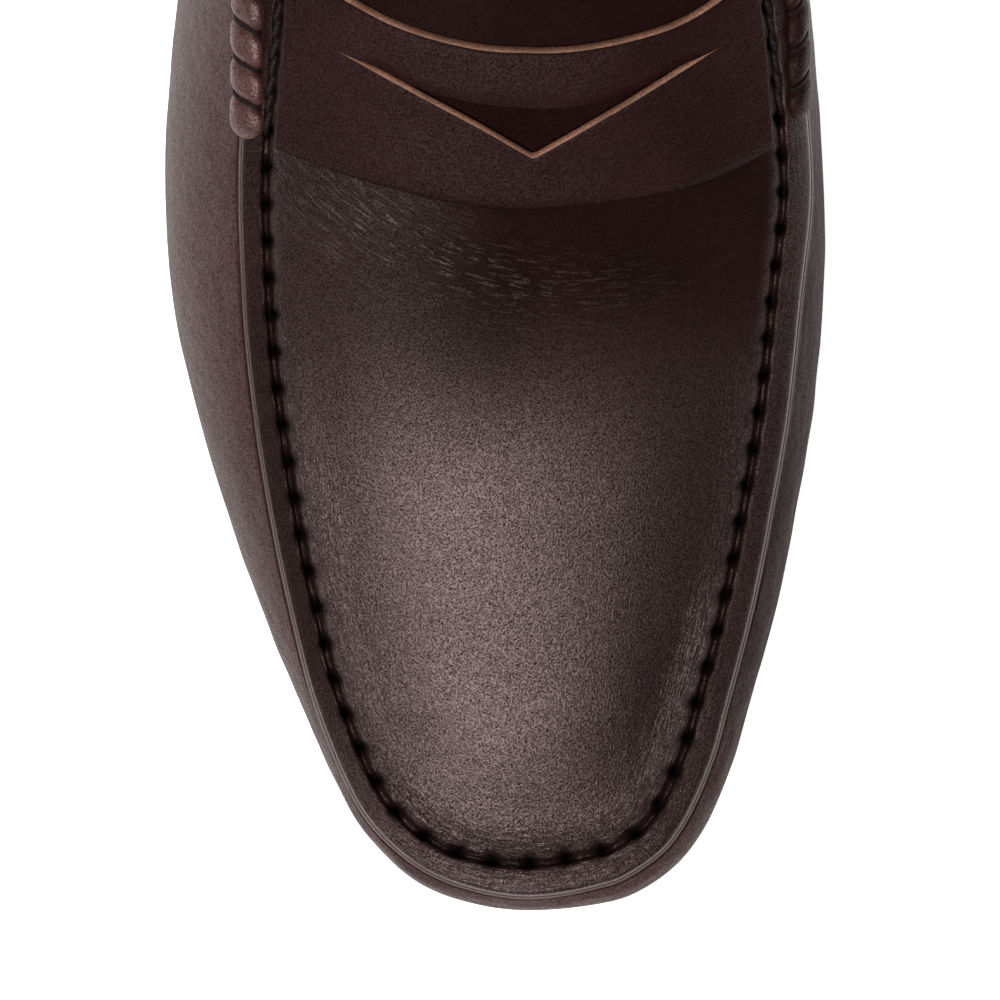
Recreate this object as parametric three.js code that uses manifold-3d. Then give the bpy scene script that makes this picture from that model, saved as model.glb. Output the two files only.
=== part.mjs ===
// Driving moccasin, right shoe, as an assembly of leather, lining, thread and rubber pieces.
// Millimetres, +Z up, toe toward -Y, the inner (medial) side of the foot toward +X.
// Every upper piece is a shell on one surface F(s, v). s runs round the shoe: 0 at the toe tip, -t along the
// outer side and +t along the inner side, t being the distance behind the toe. v runs from the middle of
// the bottom (-1) to the feather edge (0), up the side wall to the apron seam or topline (1), and over the
// apron to the middle of the instep (2).
import * as THREE from 'three';
import { mergeVertices } from 'three/addons/utils/BufferGeometryUtils.js';
import Module from 'manifold-3d';

const wasm = await Module();
wasm.setup();

// Driving dimensions
const LENGTH = 285;
const HALF_LENGTH = LENGTH / 2;
const BOTTOM_Z = 5; // underside of the upper
const WIDEST_Z = 17; // height of the widest line of the wall
const WIDEST_V = 0.4; // v of that line
const SHOULDER = (70 * Math.PI) / 180; // turn of the wall between the widest line and the seam
const FEATHER_INSET = 11;
const TOE_FAN = 30; // in front of this the toe stations fan out from one centre
const HEEL_FAN = 255; // behind this the heel stations do
const CROWN_POWER = 2.2;
// The fall of the apron toward the toe, carried on from the instep's own slope.
const TOE_FALL = 0.263;
const TOE_SPRING = { end: 45, rise: 5 };
const HEEL_KICK = { start: 262, rise: 3 };
const LEATHER = 1.4;
const GAP = 0.3;
const APRON_LOW = 0.35; // the apron lies on the vamp's turned edge
const APRON_HIGH = APRON_LOW + 1.3;
const BACKING_LOW = APRON_HIGH + GAP;
const BACKING_HIGH = BACKING_LOW + 0.8;
const STRAP_LOW = BACKING_HIGH + GAP;
const STRAP_HIGH = STRAP_LOW + 1.4;
const APRON_REAR = 145.5;
const TONGUE_FRONT = 146.4;
const TONGUE_REAR = 192;
const VAMP_REAR = 168.6;
const QUARTER_FRONT = 157.05;
const SIDE_STEP = 11.55; // from the toe fan to the apron's rear edge in ten steps
const SEAM_LEAN = 13; // how much further back the side seam meets the sole than the topline
const PEBBLE_PITCH = 13.5;

// Outline of the widest line, seen from above: [s, x, t]
const OUTLINE = [
  [-285, 0.5, 285], [-275, -14.5, 282], [-265.5, -26, 273], [-255, -33.2, 255], [-235, -35.6, 235],
  [-210, -38.5, 210], [-185, -43, 185], [-160, -47.5, 160], [-140, -50.3, 140], [-116, -52, 116],
  [-95, -50.6, 95], [-75, -45.8, 75], [-55, -39.5, 55], [-40, -33.8, 40], [-30, -29.5, 30],
  [-21.6, -23.8, 17.3], [-17.2, -19.6, 11], [-11.7, -13.1, 4.9], [-6.8, -5.7, 1.6], [0, 5.5, 0],
  [8.2, 19, 1.7], [12.3, 25.3, 4.7], [15.8, 30, 8.6], [20, 34, 14.8], [26, 37.6, 23.6], [30, 39.4, 30],
  [45, 43.6, 45], [60, 46.9, 60], [80, 50.3, 80], [105, 52, 105], [125, 51.1, 125], [143, 49.6, 143],
  [165, 46, 165], [190, 40.5, 190], [215, 36.3, 215], [235, 34.8, 235], [255, 33.2, 255],
  [265.5, 27, 273], [275, 15.5, 282], [285, 0.5, 285],
];
// How far inside the widest line the apron seam, and behind it the topline, lies: [s, inset]
const SEAM_INSET = [
  [-285, 5], [-255, 6], [-225, 8], [-195, 11], [-165, 15.5], [-145, 16.8], [-120, 16.5], [-96, 15.6],
  [-72, 12.2], [-49, 8.8], [-30, 6], [-20, 5.8], [-10, 7], [0, 7.4], [8, 8], [30, 8], [72, 8.6],
  [96, 8.4], [116, 7], [145, 8], [165, 9], [195, 9.5], [225, 8], [255, 6], [285, 5],
];
// Height of the apron seam and topline, and of the middle of the instep: [t, z]
const SEAM_HEIGHT = [
  [0, 24], [25, 26.5], [49, 31], [72, 35.5], [96, 41.5], [120, 49], [145, 57.5], [160, 59], [185, 53.5],
  [205, 51], [230, 52], [255, 57], [275, 61], [285, 62],
];
const SPINE_HEIGHT = [
  [30, 33], [49, 38], [72, 44], [96, 50.3], [120, 61.5], [145, 71.5], [160, 77.5], [175, 83], [195, 89.5],
];
// The middle line of the bottom and of the instep, seen from above: [t, x]
const SPINE_X = [[30, 5], [60, 3], [90, 1], [120, -1.5], [150, -1.5], [200, -1], [255, 0]];
const INSTEP_X = [[30, 5], [60, 4], [90, 4], [120, 4.3], [150, 4], [200, 2]];
// Middle line of the tongue's sides: [t, half width]
const TONGUE_HALF_WIDTH = [
  [TONGUE_FRONT, 28.5], [157, 30], [168, 32], [178, 30.5], [187, 23], [TONGUE_REAR, 10],
];

// A smooth curve through points of rising position: cubic with averaged slopes.
function curve(points) {
  const xs = points.map((p) => p[0]);
  const ys = points.map((p) => p[1]);
  const last = xs.length - 1;
  const slope = xs.map((_, i) => {
    const a = Math.max(0, i - 1);
    const b = Math.min(last, i + 1);
    return (ys[b] - ys[a]) / (xs[b] - xs[a]);
  });
  return (x) => {
    let i = 0;
    while (i < last - 1 && x > xs[i + 1]) i += 1;
    const h = xs[i + 1] - xs[i];
    const k = (Math.min(Math.max(x, xs[0]), xs[last]) - xs[i]) / h;
    const a = ys[i] * (1 + 2 * k) * (1 - k) ** 2 + slope[i] * h * k * (1 - k) ** 2;
    return a + ys[i + 1] * k * k * (3 - 2 * k) + slope[i + 1] * h * k * k * (k - 1);
  };
}

const clamp = (x, low, high) => Math.min(Math.max(x, low), high);
const mix = (a, b, k) => a + (b - a) * k;
const ease = (x, low, high) => {
  const k = clamp((x - low) / (high - low), 0, 1);
  return k * k * (3 - 2 * k);
};
const wrap = (s) => (s > LENGTH ? s - 2 * LENGTH : s < -LENGTH ? s + 2 * LENGTH : s);

// The outline's ends get one more point from the other end, so that the curve closes smoothly at the heel.
const closed = [
  [OUTLINE.at(-2)[0] - 2 * LENGTH, OUTLINE.at(-2)[1], OUTLINE.at(-2)[2]],
  ...OUTLINE,
  [OUTLINE[1][0] + 2 * LENGTH, OUTLINE[1][1], OUTLINE[1][2]],
];
const outlineX = curve(closed.map((p) => [p[0], p[1]]));
const outlineT = curve(closed.map((p) => [p[0], p[2]]));
const seamInset = curve(SEAM_INSET);
const seamHeight = curve(SEAM_HEIGHT);
const spineHeight = curve(SPINE_HEIGHT);
const spineX = curve(SPINE_X);
const instepX = curve(INSTEP_X);
const tongueHalfWidth = curve(TONGUE_HALF_WIDTH);

// The point of plan [x, t] that lies an inset inside the outline at s.
function ring(s, inset) {
  const e = 0.6;
  const dx = outlineX(wrap(s + e)) - outlineX(wrap(s - e));
  const dt = outlineT(wrap(s + e)) - outlineT(wrap(s - e));
  const size = Math.hypot(dx, dt);
  const w = wrap(s);
  return [outlineX(w) - (dt / size) * inset, outlineT(w) + (dx / size) * inset];
}

// Height of the instep's middle line; before the toe fan it goes on down at the same slope.
const crest = (t) => spineHeight(t) - TOE_FALL * Math.max(0, TOE_FAN - t);
const spineT = (s) => clamp(Math.abs(wrap(s)), TOE_FAN, HEEL_FAN);
const spine = (s) => [spineX(spineT(s)), spineT(s)];
const instep = (s) => [instepX(spineT(s)), spineT(s)];

// Behind the strap the lines of constant s lean back toward the sole, and the side seam follows one of them.
function leaned(s, v) {
  const t = Math.abs(s);
  const share = ease(t, 105, 157) * (1 - ease(t, 172, 245));
  const low = v < 0 ? 1 + v : 1 - clamp(v, 0, 1);
  return s + Math.sign(s) * SEAM_LEAN * share * low;
}

// The surface of the upper, before toe spring, as [x, t, z].
function surface(station, v) {
  const s = leaned(wrap(station), v);
  const w = wrap(s);
  if (v <= 0) {
    const edge = ring(s, FEATHER_INSET);
    const middle = spine(s);
    return [mix(edge[0], middle[0], -v), mix(edge[1], middle[1], -v), BOTTOM_Z];
  }
  const inset = seamInset(w);
  const top = ring(s, inset);
  const topZ = seamHeight(clamp(top[1], 0, LENGTH));
  if (v <= WIDEST_V) {
    const angle = (v / WIDEST_V) * (Math.PI / 2);
    const p = ring(s, FEATHER_INSET * (1 - Math.sin(angle)));
    return [p[0], p[1], mix(BOTTOM_Z, WIDEST_Z, 1 - Math.cos(angle))];
  }
  if (v <= 1) {
    const angle = ((v - WIDEST_V) / (1 - WIDEST_V)) * SHOULDER;
    const p = ring(s, (inset * (1 - Math.cos(angle))) / (1 - Math.cos(SHOULDER)));
    return [p[0], p[1], mix(WIDEST_Z, topZ, Math.sin(angle) / Math.sin(SHOULDER))];
  }
  const r = 2 - v;
  const middle = instep(s);
  const t = mix(middle[1], top[1], r);
  return [mix(middle[0], top[0], r), t, mix(crest(t), topZ, Math.max(r, 0) ** CROWN_POWER)];
}

// The tongue's surface: a across it, t along it. It curls down at the sides toward its free end.
function tongueSurface(a, t) {
  const across = a * tongueHalfWidth(t);
  const drop = mix(12, 25, ease(t, 146, 172)) * (Math.abs(across) / 40) ** CROWN_POWER;
  return [instepX(t) + across, t, spineHeight(t) - drop];
}

// Outward normal of a surface function at (p, q).
function normal(f, p, q, ep, eq) {
  const a = new THREE.Vector3(...f(p + ep, q)).sub(new THREE.Vector3(...f(p - ep, q)));
  const b = new THREE.Vector3(...f(p, q + eq)).sub(new THREE.Vector3(...f(p, q - eq)));
  return a.cross(b).normalize();
}

// On the middle lines of the bottom and instep the two sides meet, so the normal is set from the slope.
function upperNormal(s, v) {
  if (v <= -1) return new THREE.Vector3(0, 0, -1);
  if (v >= 2) {
    const t = spineT(s);
    return new THREE.Vector3(0, spineHeight(t - 0.5) - spineHeight(t + 0.5), 1).normalize();
  }
  return normal(surface, s, v, 0.4, 0.004);
}

const spring = (t) => {
  const toe = Math.max(0, (TOE_SPRING.end - t) / TOE_SPRING.end) ** 2 * TOE_SPRING.rise;
  const heel = Math.max(0, (t - HEEL_KICK.start) / (LENGTH - HEEL_KICK.start)) ** 2 * HEEL_KICK.rise;
  return toe + heel;
};

// From [x, t, z] to the shoe's frame, with the toe spring.
const place = (p) => new THREE.Vector3(p.x, p.y - HALF_LENGTH, p.z + spring(p.y));

function onUpper(s, v, offset) {
  const p = new THREE.Vector3(...surface(s, v));
  return place(p.addScaledVector(upperNormal(s, v), offset));
}

// A closed solid from two grids of points, outer and inner, with a wall round the edge. A first or last
// column on the middle line gets no wall, because its two sides meet there; nor do the ends of a full ring.
// Points that coincide are merged, and triangles that lose a corner that way are left out.
function solid(outer, inner, firstMeets = false, lastMeets = false) {
  const rows = outer.length;
  const closedRing = outer[0][0].distanceTo(outer.at(-1)[0]) + outer[0].at(-1).distanceTo(outer.at(-1).at(-1)) < 0.01;
  const columns = outer[0].length;
  const points = [...outer.flat(), ...inner.flat()];
  const at = (side, i, j) => side * rows * columns + i * columns + j;
  const triangles = [];
  const quad = (a, b, c, d) => triangles.push([a, b, c], [a, c, d]);
  for (let i = 0; i + 1 < rows; i += 1) {
    for (let j = 0; j + 1 < columns; j += 1) {
      quad(at(0, i, j), at(0, i + 1, j), at(0, i + 1, j + 1), at(0, i, j + 1));
      quad(at(1, i, j), at(1, i, j + 1), at(1, i + 1, j + 1), at(1, i + 1, j));
    }
  }
  for (let i = 0; i + 1 < rows; i += 1) {
    const j = columns - 1;
    if (!firstMeets) quad(at(0, i + 1, 0), at(0, i, 0), at(1, i, 0), at(1, i + 1, 0));
    if (!lastMeets) quad(at(0, i, j), at(0, i + 1, j), at(1, i + 1, j), at(1, i, j));
  }
  for (let j = 0; j + 1 < columns && !closedRing; j += 1) {
    const i = rows - 1;
    quad(at(0, 0, j), at(0, 0, j + 1), at(1, 0, j + 1), at(1, 0, j));
    quad(at(0, i, j + 1), at(0, i, j), at(1, i, j), at(1, i, j + 1));
  }
  return welded(points, triangles);
}

function welded(points, triangles) {
  const key = (p) => [p.x, p.y, p.z].map((c) => Math.round(c * 1000)).join();
  const seen = new Map();
  const unique = [];
  const index = points.map((p) => {
    const k = key(p);
    if (!seen.has(k)) {
      seen.set(k, unique.length);
      unique.push(p);
    }
    return seen.get(k);
  });
  const faces = triangles
    .map((t) => t.map((i) => index[i]))
    .filter(([a, b, c]) => a !== b && b !== c && c !== a);
  const geometry = new THREE.BufferGeometry();
  geometry.setAttribute('position', new THREE.Float32BufferAttribute(unique.flatMap((p) => p.toArray()), 3));
  geometry.setIndex(faces.flat());
  geometry.computeVertexNormals();
  return geometry;
}

// Stations round the shoe between two values of s, closer together round the toe and heel.
const STATIONS = [];
for (let s = 0; s < TOE_FAN; s += 3.75) STATIONS.push(s);
for (let s = TOE_FAN; s < HEEL_FAN - 3; s += SIDE_STEP) STATIONS.push(s);
for (let s = HEEL_FAN; s < 2 * LENGTH - HEEL_FAN; s += 6) STATIONS.push(s);
const COARSE = [0, 7.5, 15, 22.5, 30, 52.5, 75, 120, 165, 210, 232.5, 255, 263, 271, 278];

function between(low, high, all = STATIONS) {
  const both = [...all.map((s) => -s), ...all].filter((s) => s > low + 0.8 && s < high - 0.8);
  return [low, ...new Set(both.sort((a, b) => a - b)), high];
}

const steps = (low, high, n) => Array.from({ length: n + 1 }, (_, i) => mix(low, high, i / n));

// A shell of the upper: stations s, rows from a function or list of v, between two offsets.
// An offset may be a number or a function of (s, v).
function shell(stations, rows, outside, inside) {
  const rowsAt = (s) => (typeof rows === 'function' ? rows(s) : rows);
  const offsetAt = (offset, s, v) => (typeof offset === 'function' ? offset(s, v) : offset);
  const grid = (offset) => stations.map((s) => rowsAt(s).map((v) => onUpper(s, v, offsetAt(offset, s, v))));
  const first = rowsAt(stations[0]);
  return solid(grid(outside), grid(inside), first[0] <= -1, first.at(-1) >= 2);
}

const group = new THREE.Group();

function add(name, geometry, look) {
  const mesh = new THREE.Mesh(geometry, new THREE.MeshStandardMaterial({ metalness: 0, ...look }));
  mesh.name = name;
  group.add(mesh);
}

const BROWN = { color: 0x3c2726, roughness: 0.42 };
const DARK = { color: 0x301d1c, roughness: 0.45 };
const LINING = { color: 0x9a7350, roughness: 0.7 };
const THREAD = { color: 0x241716, roughness: 0.6 };
const RUBBER = { color: 0x2a1d1a, roughness: 0.75 };
const BOARD = { color: 0x8a6b4d, roughness: 0.85 };
const FOAM = { color: 0xcfc3ad, roughness: 0.95 };

// v of the apron's cut edge, a flange outside the seam.
function flangeV(s) {
  const inset = seamInset(s);
  const width = mix(2.8, 3.8, ease(s, -20, 20));
  const angle = Math.acos(1 - ((inset - width) / inset) * (1 - Math.cos(SHOULDER)));
  return WIDEST_V + (1 - WIDEST_V) * (angle / SHOULDER);
}

// Rows of the wall, from the feather edge to just under the flange. Pieces that lie on each other share them.
const wallRows = (s) => [0, 0.13, 0.27, WIDEST_V, 0.55, 0.7, flangeV(s), mix(flangeV(s), 1, 0.6)];
const liningRows = [0.05, 0.2, WIDEST_V, 0.6, 0.8];

function addVamp() {
  const behind = (s) => ease(Math.abs(s), APRON_REAR + 0.5, QUARTER_FRONT);
  const rows = (s) => [-1, -0.5, ...wallRows(s), mix(1.09, 0.97, behind(s))];
  const stations = between(-VAMP_REAR, VAMP_REAR);
  add('vamp', shell(stations, rows, 0, -LEATHER), BROWN);
  const lining = (s) => [...liningRows, mix(1.02, 0.97, behind(s))];
  add('vamp_lining', shell(stations, lining, -2.95, -3.6), LINING);
  add('toe_puff', shell(between(-41.55, 41.55), [0.27, WIDEST_V, 0.55, 0.7, 0.9], -1.7, -2.5), BOARD);
}

function addApron() {
  const rows = (s) => [flangeV(s), mix(flangeV(s), 1, 0.6), 1.09, 1.3, 1.55, 1.78, 2];
  const stations = between(-APRON_REAR, APRON_REAR);
  add('apron', shell(stations, rows, APRON_HIGH, APRON_LOW), BROWN);
  add('apron_lining', shell(stations, [1.13, 1.3, 1.55, 1.78, 2], 0.05, -0.75), LINING);
}

// The saddle strap's front and rear edges, as t over a: -1 at the outer seam, 0 in the middle, 1 at the inner.
const strapFront = curve([[-1, 121.4], [-0.62, 115], [-0.16, 110.6], [0.2, 110.8], [0.65, 114.4], [1, 121.4]]);
const strapRear = curve([[-1, 149], [-0.8, 145.6], [-0.5, 138.8], [-0.2, 134.8], [0.05, 133.8], [0.3, 134.8],
  [0.6, 138.4], [0.85, 144.5], [1, 149]]);

function strapShell(low, high, across, trim) {
  const grid = (offset) =>
    across.map((a) => {
      const front = strapFront(a) + trim;
      const rear = strapRear(a) - trim;
      return steps(front, rear, 4).map((t) => onUpper(a < 0 ? -t : t, 2 - Math.abs(a), offset));
    });
  return solid(grid(high), grid(low));
}

// A closed prism over a plan outline [x, t], tall enough to cut through the instep.
function prism(outline) {
  const shape = new THREE.Shape(outline.map(([x, t]) => new THREE.Vector2(x, t - HALF_LENGTH)));
  const geometry = new THREE.ExtrudeGeometry(shape, { depth: 100, bevelEnabled: false });
  geometry.translate(0, 0, 20);
  return geometry;
}

function manifold(geometry) {
  const bare = geometry.clone();
  bare.deleteAttribute('normal');
  bare.deleteAttribute('uv');
  const merged = mergeVertices(bare, 1e-4);
  return new wasm.Manifold(new wasm.Mesh({
    numProp: 3,
    vertProperties: merged.attributes.position.array,
    triVerts: new Uint32Array(merged.index.array),
  }));
}

function unmanifold(body) {
  const mesh = body.getMesh();
  const geometry = new THREE.BufferGeometry();
  geometry.setAttribute('position', new THREE.BufferAttribute(mesh.vertProperties, 3));
  geometry.setIndex(new THREE.BufferAttribute(mesh.triVerts, 1));
  geometry.computeVertexNormals();
  return geometry;
}

// The coin slot: a flat V with closed ends, open in the middle.
const SLOT = [
  [-23.3, 135.6], [-11.4, 128.2], [5.8, 118.2], [22, 127.8], [34, 135.6], [33.6, 136.2], [24, 130.6],
  [16, 127.2], [7.7, 125.4], [-1, 126.2], [-10.5, 129.2], [-22.9, 136.2],
];

function addStrap() {
  const middle = steps(-0.84, 0.84, 14);
  add('strap_backing', strapShell(BACKING_LOW, BACKING_HIGH, middle, 1), DARK);
  const whole = manifold(strapShell(STRAP_LOW, STRAP_HIGH, [-0.97, ...middle, 0.97], 0));
  add('saddle_strap', unmanifold(whole.subtract(manifold(prism(SLOT)))), BROWN);
}

// A solid tube along points, with the section's two half widths and closed ends.
function tube(points, normals, wide, high, sides, taper = 0) {
  const last = points.length - 1;
  const rings = points.map((p, i) => {
    const along = points[Math.min(i + 1, last)].clone().sub(points[Math.max(i - 1, 0)]).normalize();
    const up = normals[i].clone().addScaledVector(along, -normals[i].dot(along)).normalize();
    const side = up.clone().cross(along);
    const k = i === 0 || i === last ? 1 - taper : 1;
    return steps(0, 2 * Math.PI, sides).slice(0, sides).map((angle) => {
      const q = p.clone().addScaledVector(side, Math.cos(angle) * wide * k);
      return q.addScaledVector(up, Math.sin(angle) * high * k);
    });
  });
  const all = [...rings.flat(), points[0], points[last]];
  const triangles = [];
  for (let j = 0; j < sides; j += 1) {
    const k = (j + 1) % sides;
    for (let i = 0; i < last; i += 1) {
      const [a, b, c, d] = [i * sides + j, i * sides + k, (i + 1) * sides + k, (i + 1) * sides + j];
      triangles.push([a, b, c], [a, c, d]);
    }
    triangles.push([all.length - 2, k, j], [all.length - 1, last * sides + j, last * sides + k]);
  }
  return welded(all, triangles);
}

const normalAt = (s, v) => upperNormal(s, v);

function tubeOnUpper(path, wide, high, sides, taper) {
  const points = path.map(([s, v, offset]) => onUpper(s, v, offset));
  const normals = path.map(([s, v]) => normalAt(s, v));
  return tube(points, normals, wide, high, sides, taper);
}

// Each beef roll lies along the seam, over the strap's end, and a thread is wound over it.
const ROLL = { front: 120, rear: 152, wide: 2.9, high: 1.9, offset: APRON_HIGH + GAP + 1.9 };

function rollV(side, s) {
  const inset = seamInset(side * s);
  const outside = side < 0 ? 2.8 : 1.1;
  const angle = Math.acos(1 - ((inset - outside) / inset) * (1 - Math.cos(SHOULDER)));
  return WIDEST_V + (1 - WIDEST_V) * (angle / SHOULDER);
}

function addBeefRoll(name, side) {
  const t = steps(ROLL.front, ROLL.rear, 10);
  const path = t.map((x) => [side * x, rollV(side, x), ROLL.offset]);
  add(`beefroll_${name}`, tubeOnUpper(path, ROLL.wide, ROLL.high, 10, 0.45), DARK);
  const turns = 5;
  const wraps = steps(ROLL.front + 4, ROLL.rear - 4, turns * 4).map((x, i) => {
    const swing = Math.sin((i / 4) * Math.PI + Math.PI / 2) * 2.6;
    return [side * x, rollV(side, x) + swing * 0.014, ROLL.offset + ROLL.high + GAP + 0.5];
  });
  add(`beefroll_thread_${name}`, tubeOnUpper(wraps, 0.45, 0.45, 5, 0), THREAD);
}

function addThreads() {
  const seam = between(-118, 118).map((s) => [s, 1.01, APRON_HIGH + GAP + 0.5]);
  add('apron_seam_thread', tubeOnUpper(seam, 0.45, 0.45, 5, 0), THREAD);
  for (const [name, side] of [['lateral', -1], ['medial', 1]]) {
    const rows = steps(0.22, 0.86, 9).map((v) => [side * (QUARTER_FRONT + 3), v, GAP + LEATHER + GAP + 0.35]);
    add(`side_seam_thread_${name}`, tubeOnUpper(rows, 0.35, 0.35, 5, 0), THREAD);
  }
}

// Over the vamp's rear edge the quarter lies outside it; behind that it sinks to the vamp's own level.
const lift = (s) => (GAP + LEATHER) * (1 - ease(Math.abs(wrap(s)), VAMP_REAR + 1, VAMP_REAR + 11));

function addQuarter(name, side) {
  const seamGap = LENGTH - 0.2;
  const pick = (low, high) => (side < 0 ? between(-high, -low) : between(low, high));
  const rows = (s) => [-0.5, ...wallRows(s), 0.97];
  const stations = pick(QUARTER_FRONT, seamGap);
  add(`quarter_${name}`, shell(stations, rows, (s) => lift(s), (s) => lift(s) - LEATHER), BROWN);
  const inner = pick(VAMP_REAR + 0.8, seamGap);
  add(`quarter_lining_${name}`, shell(inner, [...liningRows, 0.97], -2.95, -3.6), LINING);
}

// The leather underside between the two quarters' turned edges, from the vamp to the heel.
function addWaist() {
  const across = [[-1, -0.53], [-1, -0.8], [1, -1], [1, -0.8], [1, -0.53]];
  const stations = between(VAMP_REAR + 0.8, HEEL_FAN - 1);
  const grid = (offset) => stations.map((s) => across.map(([side, v]) => onUpper(side * s, v, offset)));
  add('waist_leather', solid(grid(0), grid(-LEATHER)), BROWN);
}

function addHeel() {
  const counter = steps(HEEL_FAN, 2 * LENGTH - HEEL_FAN, 10);
  add('heel_counter', shell(counter, [0.13, 0.27, WIDEST_V, 0.55, 0.7], -1.75, -2.4), BOARD);
  const grip = counter.slice(1, -1);
  add('heel_grip', shell(grip, [0.4, 0.6, 0.8, 0.93], -3.9, -4.6), { color: 0x7d5b3f, roughness: 0.95 });
  const strip = [-6, -3, 0, 3, 6].map((x) => LENGTH + x);
  add('backstay', shell(strip, [0.44, 0.62, 0.8, 0.96], GAP + 1.2, GAP), DARK);
  const tab = [-8, -4, 0, 4, 8].map((x) => LENGTH + x);
  add('heel_rubber_tab', shell(tab, [0.08, 0.17, 0.27, 0.4], GAP + 2, GAP), RUBBER);
}

function addTopline() {
  const low = between(QUARTER_FRONT + 1.5, LENGTH, STATIONS);
  const round = [...low, ...low.slice(0, -1).map((s) => 2 * LENGTH - s).reverse()];
  const points = round.map((s) => {
    const edge = onUpper(s, 0.97, -LEATHER / 2 - 1 + lift(s) / 2);
    const above = onUpper(s, 1, -LEATHER / 2 - 1 + lift(s) / 2);
    return edge.addScaledVector(above.sub(edge).normalize(), 2.1);
  });
  const normals = round.map((s) => upperNormal(s, 0.985));
  add('topline_binding', tube(points, normals, 1.5, 2.4, 8), DARK);
}

function addTongue() {
  const place2 = (a, t, offset) => {
    const n = normal(tongueSurface, a, t, 0.02, 0.3);
    return place(new THREE.Vector3(...tongueSurface(a, t)).addScaledVector(n, offset));
  };
  const flap = (front, rear, reach, high, low) => {
    const across = steps(-reach, reach, 8);
    const along = [...steps(front, rear - 8, 4), rear - 4, rear];
    const grid = (offset) => across.map((a) => along.map((t) => place2(a, t, offset)));
    return solid(grid(high), grid(low));
  };
  add('tongue', flap(TONGUE_FRONT, TONGUE_REAR, 1, APRON_HIGH, APRON_LOW - 0.1), BROWN);
  add('tongue_lining', flap(TONGUE_FRONT + 1, TONGUE_REAR - 1.5, 0.96, -0.3, -1.1), LINING);
}

// Flat layers of the footbed: rings round the outline, fanned in to the spine.
function layer(inset, low, high, stations, rows) {
  const at = (s, r, z) => {
    const edge = ring(s, typeof inset === 'function' ? inset(s) : inset);
    const middle = spine(s);
    return place(new THREE.Vector3(mix(edge[0], middle[0], r), mix(edge[1], middle[1], r), z));
  };
  const grid = (z) => stations.map((s) => rows.map((r) => at(s, r, z)));
  return solid(grid(low), grid(high), rows[0] === 1);
}

function addFootbed() {
  const all = between(-LENGTH, LENGTH, COARSE);
  add('insole_board', layer(12.5, 6.8, 8.3, all, [1, 0.5, 0]), BOARD);
  add('footbed_foam', layer(12.5, 8.6, 10.6, all, [1, 0.5, 0]), FOAM);
  add('sock_liner', layer(11, 10.9, 11.9, all, [1, 0.5, 0]), LINING);
}

function addTube(body, x, t) {
  const pebble = new THREE.CylinderGeometry(4.4, 3.5, 3.6, 6);
  pebble.rotateX(Math.PI / 2);
  pebble.translate(x, t - HALF_LENGTH, 1.8 + spring(t));
  return body.add(manifold(pebble));
}

// A rubber unit: a thin pad with round pebbles under it.
function rubberUnit(name, inset, stations, firstT, lastT) {
  let body = manifold(layer(inset, 3.3, 4.7, stations, [1, 0.5, 0]));
  let row = 0;
  for (let t = firstT; t <= lastT; t += PEBBLE_PITCH * 0.866, row += 1) {
    const left = ring(-t, inset(t) + 5.5)[0];
    const right = ring(t, inset(t) + 5.5)[0];
    const count = Math.max(1, Math.round((right - left) / PEBBLE_PITCH) + (row % 2));
    for (let i = 0; i < count; i += 1) {
      body = addTube(body, mix(left, right, count === 1 ? 0.5 : i / (count - 1)), t);
    }
  }
  add(name, unmanifold(body), RUBBER);
}

function addSole() {
  const fore = (s) => 15 + 20 * ease(Math.abs(s), 118, 152);
  rubberUnit('forefoot_sole', fore, [-148, -142, ...between(-133, 133, COARSE), 142, 148], 27, 143);
  const rear = (s) => 13 + 12 * (1 - ease(Math.abs(wrap(s)), 198, 228));
  const front = [-204, -212, -222, -236, -250, -262, -271, -278];
  const heel = [...front, LENGTH, ...front.map((s) => -s).reverse()].map((s) => (s < 0 ? s + 2 * LENGTH : s));
  rubberUnit('heel_sole', rear, heel.sort((a, b) => a - b), 211, 264);
}

addVamp();
addApron();
addStrap();
addBeefRoll('lateral', -1);
addBeefRoll('medial', 1);
addThreads();
addQuarter('lateral', -1);
addQuarter('medial', 1);
addWaist();
addHeel();
addTopline();
addTongue();
addFootbed();
addSole();

// Stand the shoe on its pebbles, centred over its outline.
const box = new THREE.Box3().setFromObject(group);
const centre = box.getCenter(new THREE.Vector3());
for (const mesh of group.children) mesh.position.set(-centre.x, -centre.y, -box.min.z);

export default group;
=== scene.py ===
"""Looks of a right-foot driving moccasin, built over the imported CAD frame.

Every leather piece is a fine sheet on one surface F(s, v), built the same way as the solids'. s runs round the
shoe: 0 at the toe tip, -t along the outer side and +t along the inner, t being the distance behind the toe.
v runs from the middle of the bottom (-1) to the feather edge (0), up the wall to the apron seam or topline (1),
and over the apron to the middle of the instep (2). Shape is worked out in millimetres and placed in metres.
"""
import math

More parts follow.
